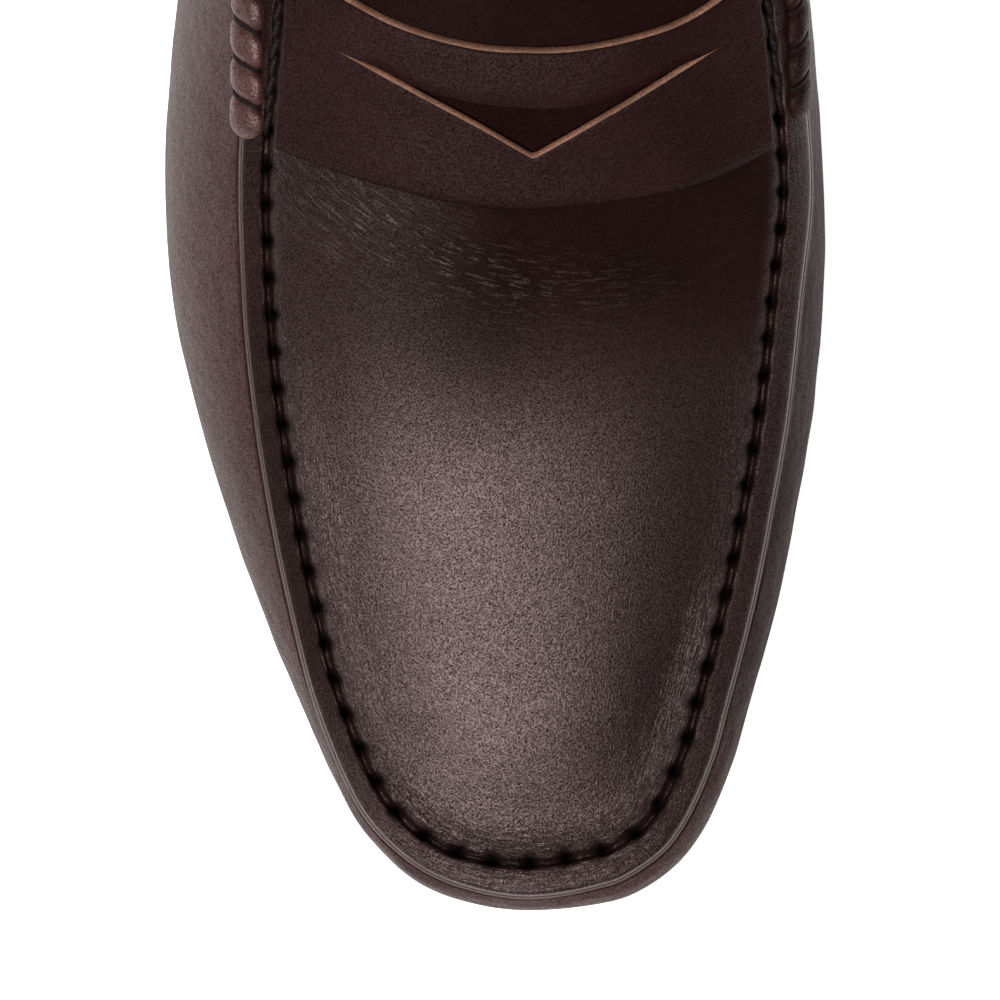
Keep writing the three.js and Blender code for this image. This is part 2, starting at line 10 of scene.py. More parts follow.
import bmesh
import bpy
import numpy as np
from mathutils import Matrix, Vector


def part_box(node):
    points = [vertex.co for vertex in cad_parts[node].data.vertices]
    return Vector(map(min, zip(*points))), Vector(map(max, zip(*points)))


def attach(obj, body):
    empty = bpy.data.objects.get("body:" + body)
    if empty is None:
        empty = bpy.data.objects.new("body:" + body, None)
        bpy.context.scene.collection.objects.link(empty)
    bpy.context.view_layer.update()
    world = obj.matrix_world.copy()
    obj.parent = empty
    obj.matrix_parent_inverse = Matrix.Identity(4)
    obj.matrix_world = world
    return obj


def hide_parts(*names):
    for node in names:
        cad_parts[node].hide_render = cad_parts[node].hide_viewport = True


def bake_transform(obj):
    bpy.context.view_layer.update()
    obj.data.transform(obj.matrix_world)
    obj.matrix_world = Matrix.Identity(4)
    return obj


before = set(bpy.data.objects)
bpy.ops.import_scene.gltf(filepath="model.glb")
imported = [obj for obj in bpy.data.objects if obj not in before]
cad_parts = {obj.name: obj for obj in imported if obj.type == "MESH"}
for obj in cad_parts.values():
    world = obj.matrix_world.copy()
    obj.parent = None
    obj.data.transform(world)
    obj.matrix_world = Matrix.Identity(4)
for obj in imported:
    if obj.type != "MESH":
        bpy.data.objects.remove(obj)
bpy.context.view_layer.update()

# The solids' dimensions, in millimetres. Only the apron's crest (SPINE_HEIGHT, TOE_FALL) differs, by up to 1.1.
LENGTH = 285.0
BOTTOM_Z = 5.0
WIDEST_Z = 17.0
WIDEST_V = 0.4
SHOULDER = math.radians(70)
FEATHER_INSET = 11.0
TOE_FAN = 30.0
HEEL_FAN = 255.0
CROWN_POWER = 2.2
SEAM_LEAN = 13.0
TOE_SPRING_END, TOE_SPRING_RISE = 45.0, 5.0
HEEL_KICK_START, HEEL_KICK_RISE = 262.0, 3.0
LEATHER = 1.4
APRON_REAR = 145.5
VAMP_REAR = 168.6
QUARTER_FRONT = 157.05
TONGUE_FRONT = 146.4
TONGUE_REAR = 192.0
STITCH_PITCH = 5.9
STITCH_LIFT, STITCH_SINK = 0.25, 0.3
TOE_FALL = 0.242
CENTRE_X = 0.01
TOE_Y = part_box("vamp")[0][1]

OUTLINE = np.array([
    (-285, 0.5, 285), (-275, -14.5, 282), (-265.5, -26, 273), (-255, -33.2, 255), (-235, -35.6, 235),
    (-210, -38.5, 210), (-185, -43, 185), (-160, -47.5, 160), (-140, -50.3, 140), (-116, -52, 116),
    (-95, -50.6, 95), (-75, -45.8, 75), (-55, -39.5, 55), (-40, -33.8, 40), (-30, -29.5, 30),
    (-21.6, -23.8, 17.3), (-17.2, -19.6, 11), (-11.7, -13.1, 4.9), (-6.8, -5.7, 1.6), (0, 5.5, 0),
    (8.2, 19, 1.7), (12.3, 25.3, 4.7), (15.8, 30, 8.6), (20, 34, 14.8), (26, 37.6, 23.6), (30, 39.4, 30),
    (45, 43.6, 45), (60, 46.9, 60), (80, 50.3, 80), (105, 52, 105), (125, 51.1, 125), (143, 49.6, 143),
    (165, 46, 165), (190, 40.5, 190), (215, 36.3, 215), (235, 34.8, 235), (255, 33.2, 255),
    (265.5, 27, 273), (275, 15.5, 282), (285, 0.5, 285)], float)
SEAM_INSET = [
    (-285, 5), (-255, 6), (-225, 8), (-195, 11), (-165, 15.5), (-145, 16.8), (-120, 16.5), (-96, 15.6),
    (-72, 12.2), (-49, 8.8), (-30, 6), (-20, 5.8), (-10, 7), (0, 7.4), (8, 8), (30, 8), (72, 8.6),
    (96, 8.4), (116, 7), (145, 8), (165, 9), (195, 9.5), (225, 8), (255, 6), (285, 5)]
SEAM_HEIGHT = [
    (0, 24), (25, 26.5), (49, 31), (72, 35.5), (96, 41.5), (120, 49), (145, 57.5), (160, 59), (185, 53.5),
    (205, 51), (230, 52), (255, 57), (275, 61), (285, 62)]
SPINE_HEIGHT = [
    (30, 33), (49, 37.6), (72, 43), (84, 46.6), (96, 51.3), (108, 56.8), (120, 61.9), (145, 71.5),
    (160, 77.5), (175, 83), (195, 89.5)]
SPINE_X = [(30, 5), (60, 3), (90, 1), (120, -1.5), (150, -1.5), (200, -1), (255, 0)]
INSTEP_X = [(30, 5), (60, 4), (90, 4), (120, 4.3), (150, 4), (200, 2)]
TONGUE_HALF_WIDTH = [
    (TONGUE_FRONT, 28.5), (157, 30), (168, 32), (178, 30.5), (187, 23), (TONGUE_REAR, 10)]
STRAP_FRONT = [(-1, 121.4), (-0.62, 115), (-0.16, 110.6), (0.2, 110.8), (0.65, 114.4), (1, 121.4)]
STRAP_REAR = [
    (-1, 149), (-0.8, 145.6), (-0.5, 138.8), (-0.2, 134.8), (0.05, 133.8), (0.3, 134.8), (0.6, 138.4),
    (0.85, 144.5), (1, 149)]


def into_scene(name, data):
    made = bpy.data.objects.new(name, data)
    bpy.context.scene.collection.objects.link(made)
    return made


def set_inputs(shader, **values):
    """Sets constant inputs; a name's spaces are written as _."""
    for key, value in values.items():
        shader.inputs[key.replace("_", " ")].default_value = value


def make_camera():
    """Straight down over the forefoot through a long lens; the rear of the shoe runs out of the top."""
    seen_width, distance = 0.1576, 1.6
    data = bpy.data.cameras.new("camera")
    data.lens = 36 * distance / seen_width
    data.clip_end = 20
    camera = into_scene("camera", data)
    camera.location = (0.0008, TOE_Y + 0.0646, 0.018 + distance)
    bpy.context.scene.camera = camera


make_camera()


# --- the surface ---

def curve(points):
    """A smooth curve through points of rising position: cubic with averaged slopes."""
    xs, ys = np.array(points, float).T
    last = len(xs) - 1
    low = np.maximum(np.arange(last + 1) - 1, 0)
    high = np.minimum(np.arange(last + 1) + 1, last)
    slope = (ys[high] - ys[low]) / (xs[high] - xs[low])

    def at(x):
        x = np.clip(np.asarray(x, float), xs[0], xs[-1])
        i = np.clip(np.searchsorted(xs, x, side="left") - 1, 0, last - 1)
        h = xs[i + 1] - xs[i]
        k = (x - xs[i]) / h
        start = ys[i] * (1 + 2 * k) * (1 - k) ** 2 + slope[i] * h * k * (1 - k) ** 2
        return start + ys[i + 1] * k * k * (3 - 2 * k) + slope[i + 1] * h * k * k * (k - 1)
    return at


def mix(a, b, k):
    return a + (b - a) * k


def ease(x, low, high):
    k = np.clip((x - low) / (high - low), 0, 1)
    return k * k * (3 - 2 * k)


def bell(x, centre, width):
    return np.exp(-((x - centre) / width) ** 2)


def wrap(s):
    return (s + LENGTH) % (2 * LENGTH) - LENGTH


def unit(vectors):
    return vectors / np.linalg.norm(vectors, axis=-1, keepdims=True)


def square_to(vectors, along):
    """Unit vectors turned square to a path's direction."""
    return unit(vectors - along * np.sum(vectors * along, 1, keepdims=True))


def run_length(path):
    """How far each point of a path is from its start."""
    return np.concatenate([[0], np.cumsum(np.linalg.norm(np.diff(path, axis=0), axis=1))])


def sample(at, places, vectors):
    """Vectors known at rising places, read at others."""
    return np.stack([np.interp(at, places, vectors[:, i]) for i in range(3)], -1)


closed = np.vstack([OUTLINE[-2] - (2 * LENGTH, 0, 0), OUTLINE, OUTLINE[1] + (2 * LENGTH, 0, 0)])
outline_x = curve(closed[:, [0, 1]])
outline_t = curve(closed[:, [0, 2]])
seam_inset = curve(SEAM_INSET)
seam_height = curve(SEAM_HEIGHT)
spine_height = curve(SPINE_HEIGHT)
spine_x = curve(SPINE_X)
instep_x = curve(INSTEP_X)
tongue_half_width = curve(TONGUE_HALF_WIDTH)
strap_front = curve(STRAP_FRONT)
strap_rear = curve(STRAP_REAR)


def ring(s, inset):
    """The plan point (x, t) an inset inside the outline at s."""
    e = 0.6
    dx = outline_x(wrap(s + e)) - outline_x(wrap(s - e))
    dt = outline_t(wrap(s + e)) - outline_t(wrap(s - e))
    size = np.hypot(dx, dt)
    w = wrap(s)
    return outline_x(w) - dt / size * inset, outline_t(w) + dx / size * inset


def spine_t(s):
    return np.clip(np.abs(wrap(s)), TOE_FAN, HEEL_FAN)


def leaned(s, v):
    """Behind the strap the lines of constant s lean back toward the sole, and the side seam follows one."""
    t = np.abs(s)
    share = ease(t, 105, 157) * (1 - ease(t, 172, 245))
    low = np.where(v < 0, 1 + v, 1 - np.clip(v, 0, 1))
    return s + np.sign(s) * SEAM_LEAN * share * low


def by_zone(v, bottom, wall, apron):
    return np.where(v <= 0, bottom, np.where(v <= 1, wall, apron))


def surface(station, v):
    """Points (x, t, z) of the upper, before the toe spring."""
    station, v = np.broadcast_arrays(np.asarray(station, float), np.asarray(v, float))
    s = leaned(wrap(station), v)
    w = wrap(s)
    inset = seam_inset(w)
    top_x, top_t = ring(s, inset)
    top_z = seam_height(np.clip(top_t, 0, LENGTH))
    low_angle = np.clip(v / WIDEST_V, 0, 1) * math.pi / 2
    high_angle = np.clip((v - WIDEST_V) / (1 - WIDEST_V), 0, 1) * SHOULDER
    low_inset = FEATHER_INSET * (1 - np.sin(low_angle))
    high_inset = inset * (1 - np.cos(high_angle)) / (1 - math.cos(SHOULDER))
    wall_x, wall_t = ring(s, np.where(v <= WIDEST_V, low_inset, high_inset))
    low_z = mix(BOTTOM_Z, WIDEST_Z, 1 - np.cos(low_angle))
    high_z = mix(WIDEST_Z, top_z, np.sin(high_angle) / math.sin(SHOULDER))
    wall_z = np.where(v <= WIDEST_V, low_z, high_z)
    edge_x, edge_t = ring(s, FEATHER_INSET)
    t_mid = spine_t(s)
    k = np.clip(-v, 0, 1)
    r = np.clip(2 - v, 0, 1)
    x = by_zone(v, mix(edge_x, spine_x(t_mid), k), wall_x, mix(instep_x(t_mid), top_x, r))
    t = by_zone(v, mix(edge_t, t_mid, k), wall_t, mix(t_mid, top_t, r))
    crest = spine_height(t) - TOE_FALL * np.maximum(0, TOE_FAN - t)
    apron_z = mix(crest, top_z, r ** CROWN_POWER)
    z = by_zone(v, BOTTOM_Z, wall_z, apron_z)
    return np.stack([x, t, z], -1)


def upper_normal(s, v):
    """Outward normals; on the two middle lines they are set from the slope along the shoe."""
    s, v = np.broadcast_arrays(np.asarray(s, float), np.asarray(v, float))
    ds = surface(s + 0.4, v) - surface(s - 0.4, v)
    dv = surface(s, v + 0.004) - surface(s, v - 0.004)
    n = np.cross(ds, dv)
    size = np.linalg.norm(n, axis=-1, keepdims=True)
    t = spine_t(s)
    slope = spine_height(t - 0.5) - spine_height(t + 0.5)
    up = unit(np.stack([np.zeros_like(slope), slope, np.ones_like(slope)], -1))
    n = np.where(size > 1e-9, n / np.maximum(size, 1e-9), up)
    n = np.where((v >= 1.996)[..., None], up, n)
    return np.where((v <= -0.996)[..., None], (0, 0, -1), n)


def placed(p):
    """From (x, t, z) in millimetres to the shoe's frame in metres, with the toe spring."""
    t = p[..., 1]
    toe = np.maximum(0, (TOE_SPRING_END - t) / TOE_SPRING_END) ** 2 * TOE_SPRING_RISE
    heel = np.maximum(0, (t - HEEL_KICK_START) / (LENGTH - HEEL_KICK_START)) ** 2 * HEEL_KICK_RISE
    out = np.empty_like(p)
    out[..., 0] = (p[..., 0] + CENTRE_X) / 1000
    out[..., 1] = t / 1000 + TOE_Y
    out[..., 2] = (p[..., 2] + toe + heel) / 1000
    return out


def on_upper(s, v, offset):
    s, v, offset = np.broadcast_arrays(s, v, offset)
    return placed(surface(s, v) + upper_normal(s, v) * offset[..., None])


def wall_v(s, out):
    """v on the wall at a plan distance `out` outside the apron seam."""
    inset = seam_inset(wrap(s))
    share = np.clip((inset - out) / inset, 0.0, 1)
    angle = np.arccos(1 - share * (1 - math.cos(SHOULDER)))
    return WIDEST_V + (1 - WIDEST_V) * angle / SHOULDER


def behind_strap(s):
    """Behind the strap the apron ends, and the vamp's rim becomes a plain edge."""
    return ease(np.abs(s), 147, 158)


def seam_depth(s):
    """Plan distance from the seam to the middle of the instep."""
    x, t = ring(s, seam_inset(wrap(s)))
    return np.hypot(x - instep_x(spine_t(s)), t - spine_t(s))


def seam_v(s, out):
    """v at a plan distance outside (+) or inside (-) the apron seam."""
    return np.where(out >= 0, wall_v(s, np.maximum(out, 0)), 1 + np.maximum(-out, 0) / seam_depth(s))


def flange_width(s):
    """Plan width of the turned-out edge beyond the apron seam: widest round the toe."""
    return 3.5 + 1.3 * bell(s, 4, 16) + 0.6 * ease(s, 10, 30)


def beside_seam(s, out, up):
    """A point a plan distance outside (+) or inside (-) the seam and a height over the leather there."""
    s, out, up = np.broadcast_arrays(s, out, up)
    x, t = ring(s, seam_inset(wrap(s)) - np.maximum(out, 0))
    inner = surface(s, np.minimum(seam_v(s, np.minimum(out, 0)), 2))
    wall = surface(s, wall_v(s, np.maximum(out, 0)))
    top = surface(s, 1.0)[..., 2]
    outer = np.stack([x, t, mix(top, wall[..., 2], 0.35)], -1)
    p = np.where((out > 0)[..., None], outer, inner)
    p[..., 2] += up
    return placed(p)


def arc_lengths(low, high):
    """Dense stations along the apron seam and the distance of each from the toe tip."""
    s = np.linspace(low, high, 6000)
    d = run_length(surface(s, 1.0))
    return s, d - np.interp(0, s, d)


def even_stations(reach, step):
    """Stations about a step apart along the seam, the same on both sides of the toe, and their distances."""
    s, d = arc_lengths(-reach, reach)
    right = np.interp(np.linspace(0, d[-1], int(round(d[-1] / step)) + 1), d, s)
    even = np.concatenate([-right[:0:-1], right])
    return even, np.interp(even, s, d)


def noise(u, v, seed=0):
    """Smooth repeatable noise from -1 to 1 on a grid of unit cells."""
    iu, iv = np.floor(u), np.floor(v)
    fu, fv = u - iu, v - iv
    fu, fv = fu * fu * (3 - 2 * fu), fv * fv * (3 - 2 * fv)

    def corner(a, b):
        h = np.sin((iu + a) * 127.1 + (iv + b) * 311.7 + seed * 74.7) * 43758.5453
        return 2 * (h - np.floor(h)) - 1
    return mix(mix(corner(0, 0), corner(1, 0), fu), mix(corner(0, 1), corner(1, 1), fu), fv)


# --- meshes ---

def link(name, mesh, body, nodes):
    """Puts a piece in the scene: it rides a body and stands for nodes, whose solids it hides.

    The tongue's pieces ride no body: their placing is baked into their meshes.
    """
    piece = into_scene(name, mesh)
    mesh.shade_smooth()
    if body == "tongue_flap":
        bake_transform(piece)
    else:
        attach(piece, body)
    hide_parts(*nodes)


def grid_mesh(name, points, materials, fields=None, raw=(), raw_rows=(), left_out=()):
    """A mesh over a grid of points [i, j]. Faces in `raw` columns and `raw_rows` take the second material."""
    rows, columns = points.shape[:2]
    index = np.arange(rows * columns).reshape(rows, columns)
    faces = np.stack([index[:-1, :-1], index[1:, :-1], index[1:, 1:], index[:-1, 1:]], -1)
    which = np.zeros(faces.shape[:2], int)
    which[:, list(raw)] = 1
    which[list(raw_rows)] = 1
    kept = [j for j in range(columns - 1) if j not in left_out]
    mesh = bpy.data.meshes.new(name)
    mesh.from_pydata(points.reshape(-1, 3).tolist(), [], faces[:, kept].reshape(-1, 4).tolist())
    for m in materials:
        mesh.materials.append(m)
    mesh.polygons.foreach_set("material_index", which[:, kept].reshape(-1).astype(np.int32))
    for key, values in (fields or {}).items():
        layer = mesh.attributes.new(key, "FLOAT", "POINT")
        values = np.broadcast_to(values, (rows, columns))
        layer.data.foreach_set("value", values.astype(np.float32).reshape(-1))
    mesh.update()
    return mesh


def weld(mesh):
    """Joins points that lie on each other, so that shading runs on across them."""
    work = bmesh.new()
    work.from_mesh(mesh)
    bmesh.ops.remove_doubles(work, verts=work.verts, dist=2e-6)
    work.to_mesh(mesh)
    work.free()
    mesh.update()
    return mesh


def bordered(grid, across=True, along=True):
    """Repeats a grid's first and last columns and rows."""
    if across:
        grid = np.concatenate([grid[:, :1], grid, grid[:, -1:]], 1)
    if along:
        grid = np.concatenate([grid[:1], grid, grid[-1:]], 0)
    return grid


def cut_edges(top, low):
    """A grid with a border that drops from its face to the low face."""
    points, edge = bordered(top), bordered(low)
    points[0], points[-1], points[:, 0], points[:, -1] = edge[0], edge[-1], edge[:, 0], edge[:, -1]
    return points


def sheet(name, s, rows, offset, thick, materials, nodes, relief, flip=False):
    """A piece of the upper: stations s, rows of v, an offset, and cut faces `thick` deep round its edge."""
    s = np.asarray(s, float)
    V = np.broadcast_to(rows, (len(s), np.shape(rows)[-1]))
    S = np.broadcast_to(s[:, None], V.shape)
    soft = relief * (noise(S / 11, V * 6, len(name)) + 0.4 * noise(S / 3.5, V * 19, 2))
    near = np.minimum(np.arange(V.shape[1]), np.arange(V.shape[1])[::-1])[None, :] / 2.0
    side = np.minimum(np.arange(V.shape[0]), np.arange(V.shape[0])[::-1])[:, None] / 2.0
    turn = 0.3 * abs(thick) * np.exp(-2.2 * np.minimum(near, side)) * (1 if thick > 0 else -1)
    top = on_upper(S, V, offset + soft - turn)
    low = on_upper(S, V, offset - thick)
    points = cut_edges(top, low)
    if flip:
        points = points[::-1]
    last = points.shape[1] - 2
    mesh = grid_mesh(name, points, materials, raw=(0, last), raw_rows=(0, points.shape[0] - 2))
    link(name, mesh, "shoe", nodes)


def capped(path, rings, rear=True):
    """Rings of points, closed to a point of their path at the front and, unless rear is False, at the rear."""
    ends = [np.repeat(end[:, None], rings.shape[1], 1) for end in (path[:1], path[-1:])]
    return np.concatenate([ends[0], rings, ends[1]] if rear else [ends[0], rings])


def tube_points(path, normals, wide, high, sides=10):
    """Rings of points round a path, closed to a point at each end."""
    along = unit(np.gradient(path, axis=0))
    up = square_to(normals, along)
    side = np.cross(up, along)
    angle = (np.arange(sides) / sides * 2 * math.pi)[None, :, None]
    wide = np.broadcast_to(wide, len(path))[:, None, None]
    high = np.broadcast_to(high, len(path))[:, None, None]
    rings = path[:, None] + side[:, None] * np.cos(angle) * wide + up[:, None] * np.sin(angle) * high
    return capped(path, rings)


def tubes_mesh(name, grids, material):
    """One mesh of many grids that close round themselves."""
    vertices, faces, base = [], [], 0
    for g in grids:
        rows, columns = g.shape[:2]
        index = np.arange(rows * columns).reshape(rows, columns) + base
        a, b = index[:-1], index[1:]
        faces.append(np.stack([a, b, np.roll(b, -1, 1), np.roll(a, -1, 1)], -1).reshape(-1, 4))
        vertices.append(g.reshape(-1, 3))
        base += rows * columns
    mesh = bpy.data.meshes.new(name)
    mesh.from_pydata(np.concatenate(vertices).tolist(), [], np.concatenate(faces).tolist())
    mesh.materials.append(material)
    mesh.update()
    return mesh


def add_tubes(name, grids, material, node_name, body="shoe"):
    link(name, tubes_mesh(name, grids, material), body, [node_name])


def stitch_row(path, normals, pitch, radius):
    """Stitches along a dense path of points in metres: each rises out of one hole and sinks into the next."""
    d = run_length(path) * 1000
    grids = []
    for k in range(int(d[-1] / pitch)):
        at = np.linspace((k + 0.1) * pitch, (k + 0.9) * pitch, 7)
        centre, up = sample(at, d, path), sample(at, d, normals)
        arch = np.sin(np.linspace(0, math.pi, 7)) ** 0.5
        rise = (arch * (STITCH_LIFT + STITCH_SINK) - STITCH_SINK) / 1000
        grids.append(tube_points(centre + up * rise[:, None], up, radius / 1000, radius / 1000, 6))
    return grids


def rows_on_upper(lines, offset, pitch, radius):
    """Stitch rows along lines (s, v) of the upper."""
    grids = []
    for s, v in lines:
        s, v = np.broadcast_arrays(np.asarray(s, float), np.asarray(v, float))
        grids += stitch_row(on_upper(s, v, offset), upper_normal(s, v), pitch, radius)
    return grids


# --- materials ---

def node(tree, kind, *links, **settings):
    """Adds a shader node. links: (input, socket). settings: attributes or, by _name, input values."""
    made = tree.nodes.new(kind)
    for key, value in settings.items():
        if key.startswith("_"):
            made.inputs[key[1:].replace("_", " ")].default_value = value
        else:
            setattr(made, key, value)
    for name, socket in links:
        tree.links.new(socket, made.inputs[name])
    return made


def feed(tree, socket, value):
    """Links a socket, or sets it where the value is a constant."""
    if isinstance(value, tuple):
        socket.default_value = (*value, 1)
    elif isinstance(value, (int, float)):
        socket.default_value = value
    else:
        tree.links.new(value, socket)


def dress(tree, shader, **values):
    """Feeds a shader's inputs; a name's spaces are written as _."""
    for key, value in values.items():
        feed(tree, shader.inputs[key.replace("_", " ")], value)


def calc(tree, operation, *values):
    made = tree.nodes.new("ShaderNodeMath")
    made.operation = operation
    for socket, value in zip(made.inputs, values):
        feed(tree, socket, value)
    return made.outputs[0]


def times(tree, a, b):
    return calc(tree, "MULTIPLY", a, b)


def scale_add(tree, value, k, more):
    return calc(tree, "MULTIPLY_ADD", value, k, more)


def ramp(tree, value, low, high, invert=False):
    made = node(tree, "ShaderNodeMapRange", ("Value", value), interpolation_type="SMOOTHSTEP", _From_Min=low,
                _From_Max=high, _To_Min=float(invert), _To_Max=1.0 - float(invert))
    return made.outputs["Result"]


def blend(tree, factor, a, b):
    made = tree.nodes.new("ShaderNodeMix")
    made.data_type = "RGBA"
    for i, value in ((0, factor), (6, a), (7, b)):
        feed(tree, made.inputs[i], value)
    return made.outputs[2]


def bump(tree, height, depth_mm, normal=None):
    links = [("Height", height)] + ([("Normal", normal)] if normal else [])
    return node(tree, "ShaderNodeBump", *links, _Distance=depth_mm / 1000).outputs["Normal"]


def start(name, roughness, specular):
    material = bpy.data.materials.new(name)
    material.use_nodes = True
    tree = material.node_tree
    shader = tree.nodes["Principled BSDF"]
    set_inputs(shader, Roughness=roughness, Specular_IOR_Level=specular)
    place = node(tree, "ShaderNodeTexCoord").outputs["Object"]
    return material, tree, shader, place


def noisy(tree, place, size_mm, detail=3.0, rough=0.55):
    made = node(tree, "ShaderNodeTexNoise", ("Vector", place), _Scale=1000 / size_mm, _Detail=detail,
                _Roughness=rough)
    return made.outputs["Fac"]


def cells(tree, place, size_mm, feature="SMOOTH_F1"):
    made = node(tree, "ShaderNodeTexVoronoi", ("Vector", place), feature=feature, _Scale=1000 / size_mm)
    return made.outputs["Distance"]


def field(tree, name):
    return node(tree, "ShaderNodeAttribute", attribute_name=name).outputs["Fac"]


def streaks(tree, across, along, scale, stretch, detail=3.0):
    """Noise drawn out along one direction of the leather."""
    spot = tree.nodes.new("ShaderNodeCombineXYZ")
    feed(tree, spot.inputs[0], across)
    feed(tree, spot.inputs[1], times(tree, along, stretch))
    return node(tree, "ShaderNodeTexNoise", ("Vector", spot.outputs[0]), _Scale=scale, _Detail=detail,
                _Roughness=0.6, _Distortion=0.4).outputs["Fac"]


def scaled(colour, k):
    return tuple(min(1.0, c * k) for c in colour)


def leather(name, colour, roughness, grain, grain_mm, *, specular, seam=False, crease=False, rugged=0.0):
    """Dyed leather: fine grain and pores over cloudy dye. Fields add wrinkles, creases and painted shade."""
    material, tree, shader, place = start(name, roughness, specular)
    set_inputs(shader, Specular_Tint=(1, 0.74, 0.71, 1))
    grit = cells(tree, place, grain_mm)
    fine = noisy(tree, place, grain_mm * 0.5, 4)
    cloud = noisy(tree, place, 24, 5, 0.6)
    speck = noisy(tree, place, 1.6, 3)
    pore = ramp(tree, cells(tree, place, 0.9, "F1"), 0.10, 0.26, invert=True)
    tone = blend(tree, ramp(tree, cloud, 0.35, 0.7), scaled(colour, 0.78), scaled(colour, 1.22))
    tone = blend(tree, times(tree, ramp(tree, speck, 0.4, 0.75), 0.4), tone, scaled(colour, 0.6))
    tone = blend(tree, times(tree, pore, 0.35), tone, scaled(colour, 0.4))
    height = calc(tree, "SUBTRACT", calc(tree, "ADD", grit, fine), times(tree, pore, 0.25))
    shine = scale_add(tree, ramp(tree, height, 0.55, 1.25), 2.1, 0.2)
    gloss, matt = specular, roughness - 0.08
    normal = bump(tree, height, grain)
    if rugged:
        lumps = calc(tree, "ADD", cells(tree, place, 2.3), noisy(tree, place, 3.5, 4, 0.65))
        wrinkles = noisy(tree, place, 1.0, 6, 0.75)
        normal = bump(tree, wrinkles, rugged, bump(tree, lumps, rugged, normal))
        tone = blend(tree, ramp(tree, wrinkles, 0.46, 0.62), tone, scaled(colour, 0.55))
    if seam:
        across, along = field(tree, "rho"), field(tree, "arc")
        lines = ramp(tree, streaks(tree, across, along, 2.0, 0.13), 0.34, 0.66)
        normal = bump(tree, times(tree, lines, field(tree, "gather")), 1.0, normal)
        # painted shade: this field darkens the colour nearly to black and dulls the shine
        groove = field(tree, "groove")
        tone = blend(tree, groove, tone, scaled(colour, 0.12))
        dull = calc(tree, "MAXIMUM", groove, field(tree, "dull"))
        gloss = scale_add(tree, dull, -specular * 0.95, specular)
        matt = scale_add(tree, dull, 0.35, matt)
    if crease:
        lines = streaks(tree, field(tree, "crease"), field(tree, "crease_along"), 2.6, 0.10)
        lines = ramp(tree, lines, 0.50, 0.62)
        lines = times(tree, lines, field(tree, "crease_amount"))
        normal = bump(tree, lines, 1.0, normal)
        gloss = scale_add(tree, lines, 5.0, gloss)
    dress(tree, shader, Specular_IOR_Level=times(tree, shine, gloss),
          Roughness=scale_add(tree, fine, 0.16, matt), Base_Color=tone, Normal=normal)
    return material


def fibrous(name, colour, size_mm, depth, roughness, dark=0.6):
    """Cut edges, suede, board and foam: a matt surface of fibres with uneven colour."""
    material, tree, shader, place = start(name, roughness, 0.3)
    fine = noisy(tree, place, size_mm, 5, 0.65)
    tone = blend(tree, ramp(tree, fine, 0.3, 0.7), scaled(colour, dark), colour)
    tone = blend(tree, ramp(tree, noisy(tree, place, 6, 3), 0.4, 0.8), tone, scaled(colour, dark))
    dress(tree, shader, Base_Color=tone, Normal=bump(tree, fine, depth))
    return material


def thread(name, colour):
    """Waxed thread, with its twist."""
    material, tree, shader, place = start(name, 0.55, 0.25)
    twist = node(tree, "ShaderNodeTexWave", ("Vector", place), _Scale=650.0, _Distortion=1.5,
                 bands_direction="DIAGONAL").outputs["Fac"]
    tone = blend(tree, twist, scaled(colour, 0.65), colour)
    dress(tree, shader, Base_Color=tone, Normal=bump(tree, twist, 0.06))
    return material


def rubber(name, colour):
    """Moulded rubber: fine matt texture, lightly scuffed."""
    material, tree, shader, place = start(name, 0.65, 0.4)
    scuff = noisy(tree, place, 7, 5, 0.65)
    tone = blend(tree, ramp(tree, scuff, 0.4, 0.75), colour, scaled(colour, 1.9))
    dress(tree, shader, Base_Color=tone, Roughness=scale_add(tree, scuff, 0.3, 0.45),
          Normal=bump(tree, noisy(tree, place, 0.5, 4), 0.05))
    return material


BROWN = (0.018, 0.0062, 0.0056)
REDBROWN = (0.021, 0.0062, 0.0054)
WALL_BROWN = (0.074, 0.0245, 0.022)
TAN = (0.78, 0.38, 0.25)
LINING = (0.36, 0.20, 0.105)

apron_skin = leather("apron_leather", BROWN, 0.36, 0.048, 0.27, seam=True, crease=True, specular=0.60)
vamp_skin = leather("vamp_leather", WALL_BROWN, 0.5, 0.08, 0.3, seam=True, rugged=0.7, specular=0.45)
quarter_skin = leather("quarter_leather", WALL_BROWN, 0.5, 0.05, 0.4, rugged=0.3, specular=0.28)
outer_roll_skin = leather("outer_roll_leather", WALL_BROWN, 0.38, 0.06, 0.3, specular=0.7)
# painted shade: the inner roll's leather is a darker, duller copy of the outer roll's, for the side the lamp
# doesn't reach
inner_roll_painted_shade_skin = leather("inner_roll_painted_shade_leather", scaled(WALL_BROWN, 0.3), 0.5, 0.06, 0.3, specular=0.15)
strap_skin = leather("strap_leather", scaled(REDBROWN, 1.15), 0.44, 0.07, 0.32, seam=True, specular=0.13)
dark_skin = leather("dark_leather", scaled(REDBROWN, 0.8), 0.5, 0.04, 0.45, specular=0.15)
under_skin = leather("under_strap_leather", scaled(REDBROWN, 0.8), 0.7, 0.04, 0.45, specular=0.04)
lining_skin = leather("lining_leather", LINING, 0.55, 0.03, 0.8, specular=0.3)
sock_skin = leather("sock_leather", scaled(LINING, 1.05), 0.5, 0.035, 0.9, specular=0.3)
suede = fibrous("suede", (0.20, 0.105, 0.055), 0.6, 0.10, 0.95)
board = fibrous("fibre_board", (0.27, 0.17, 0.095), 0.7, 0.06, 0.8)
foam = fibrous("foam", (0.62, 0.54, 0.42), 0.9, 0.12, 0.95, 0.8)
tan_edge = fibrous("tan_cut_edge", TAN, 0.3, 0.09, 0.5, 0.3)
dark_edge = fibrous("dyed_cut_edge", (0.17, 0.11, 0.095), 0.45, 0.08, 0.5, 0.4)
dark_thread = thread("dark_thread", (0.018, 0.009, 0.008))
brown_thread = thread("brown_thread", (0.115, 0.062, 0.045))
rubber_skin = rubber("sole_rubber", (0.022, 0.013, 0.011))


# --- vamp and apron ---

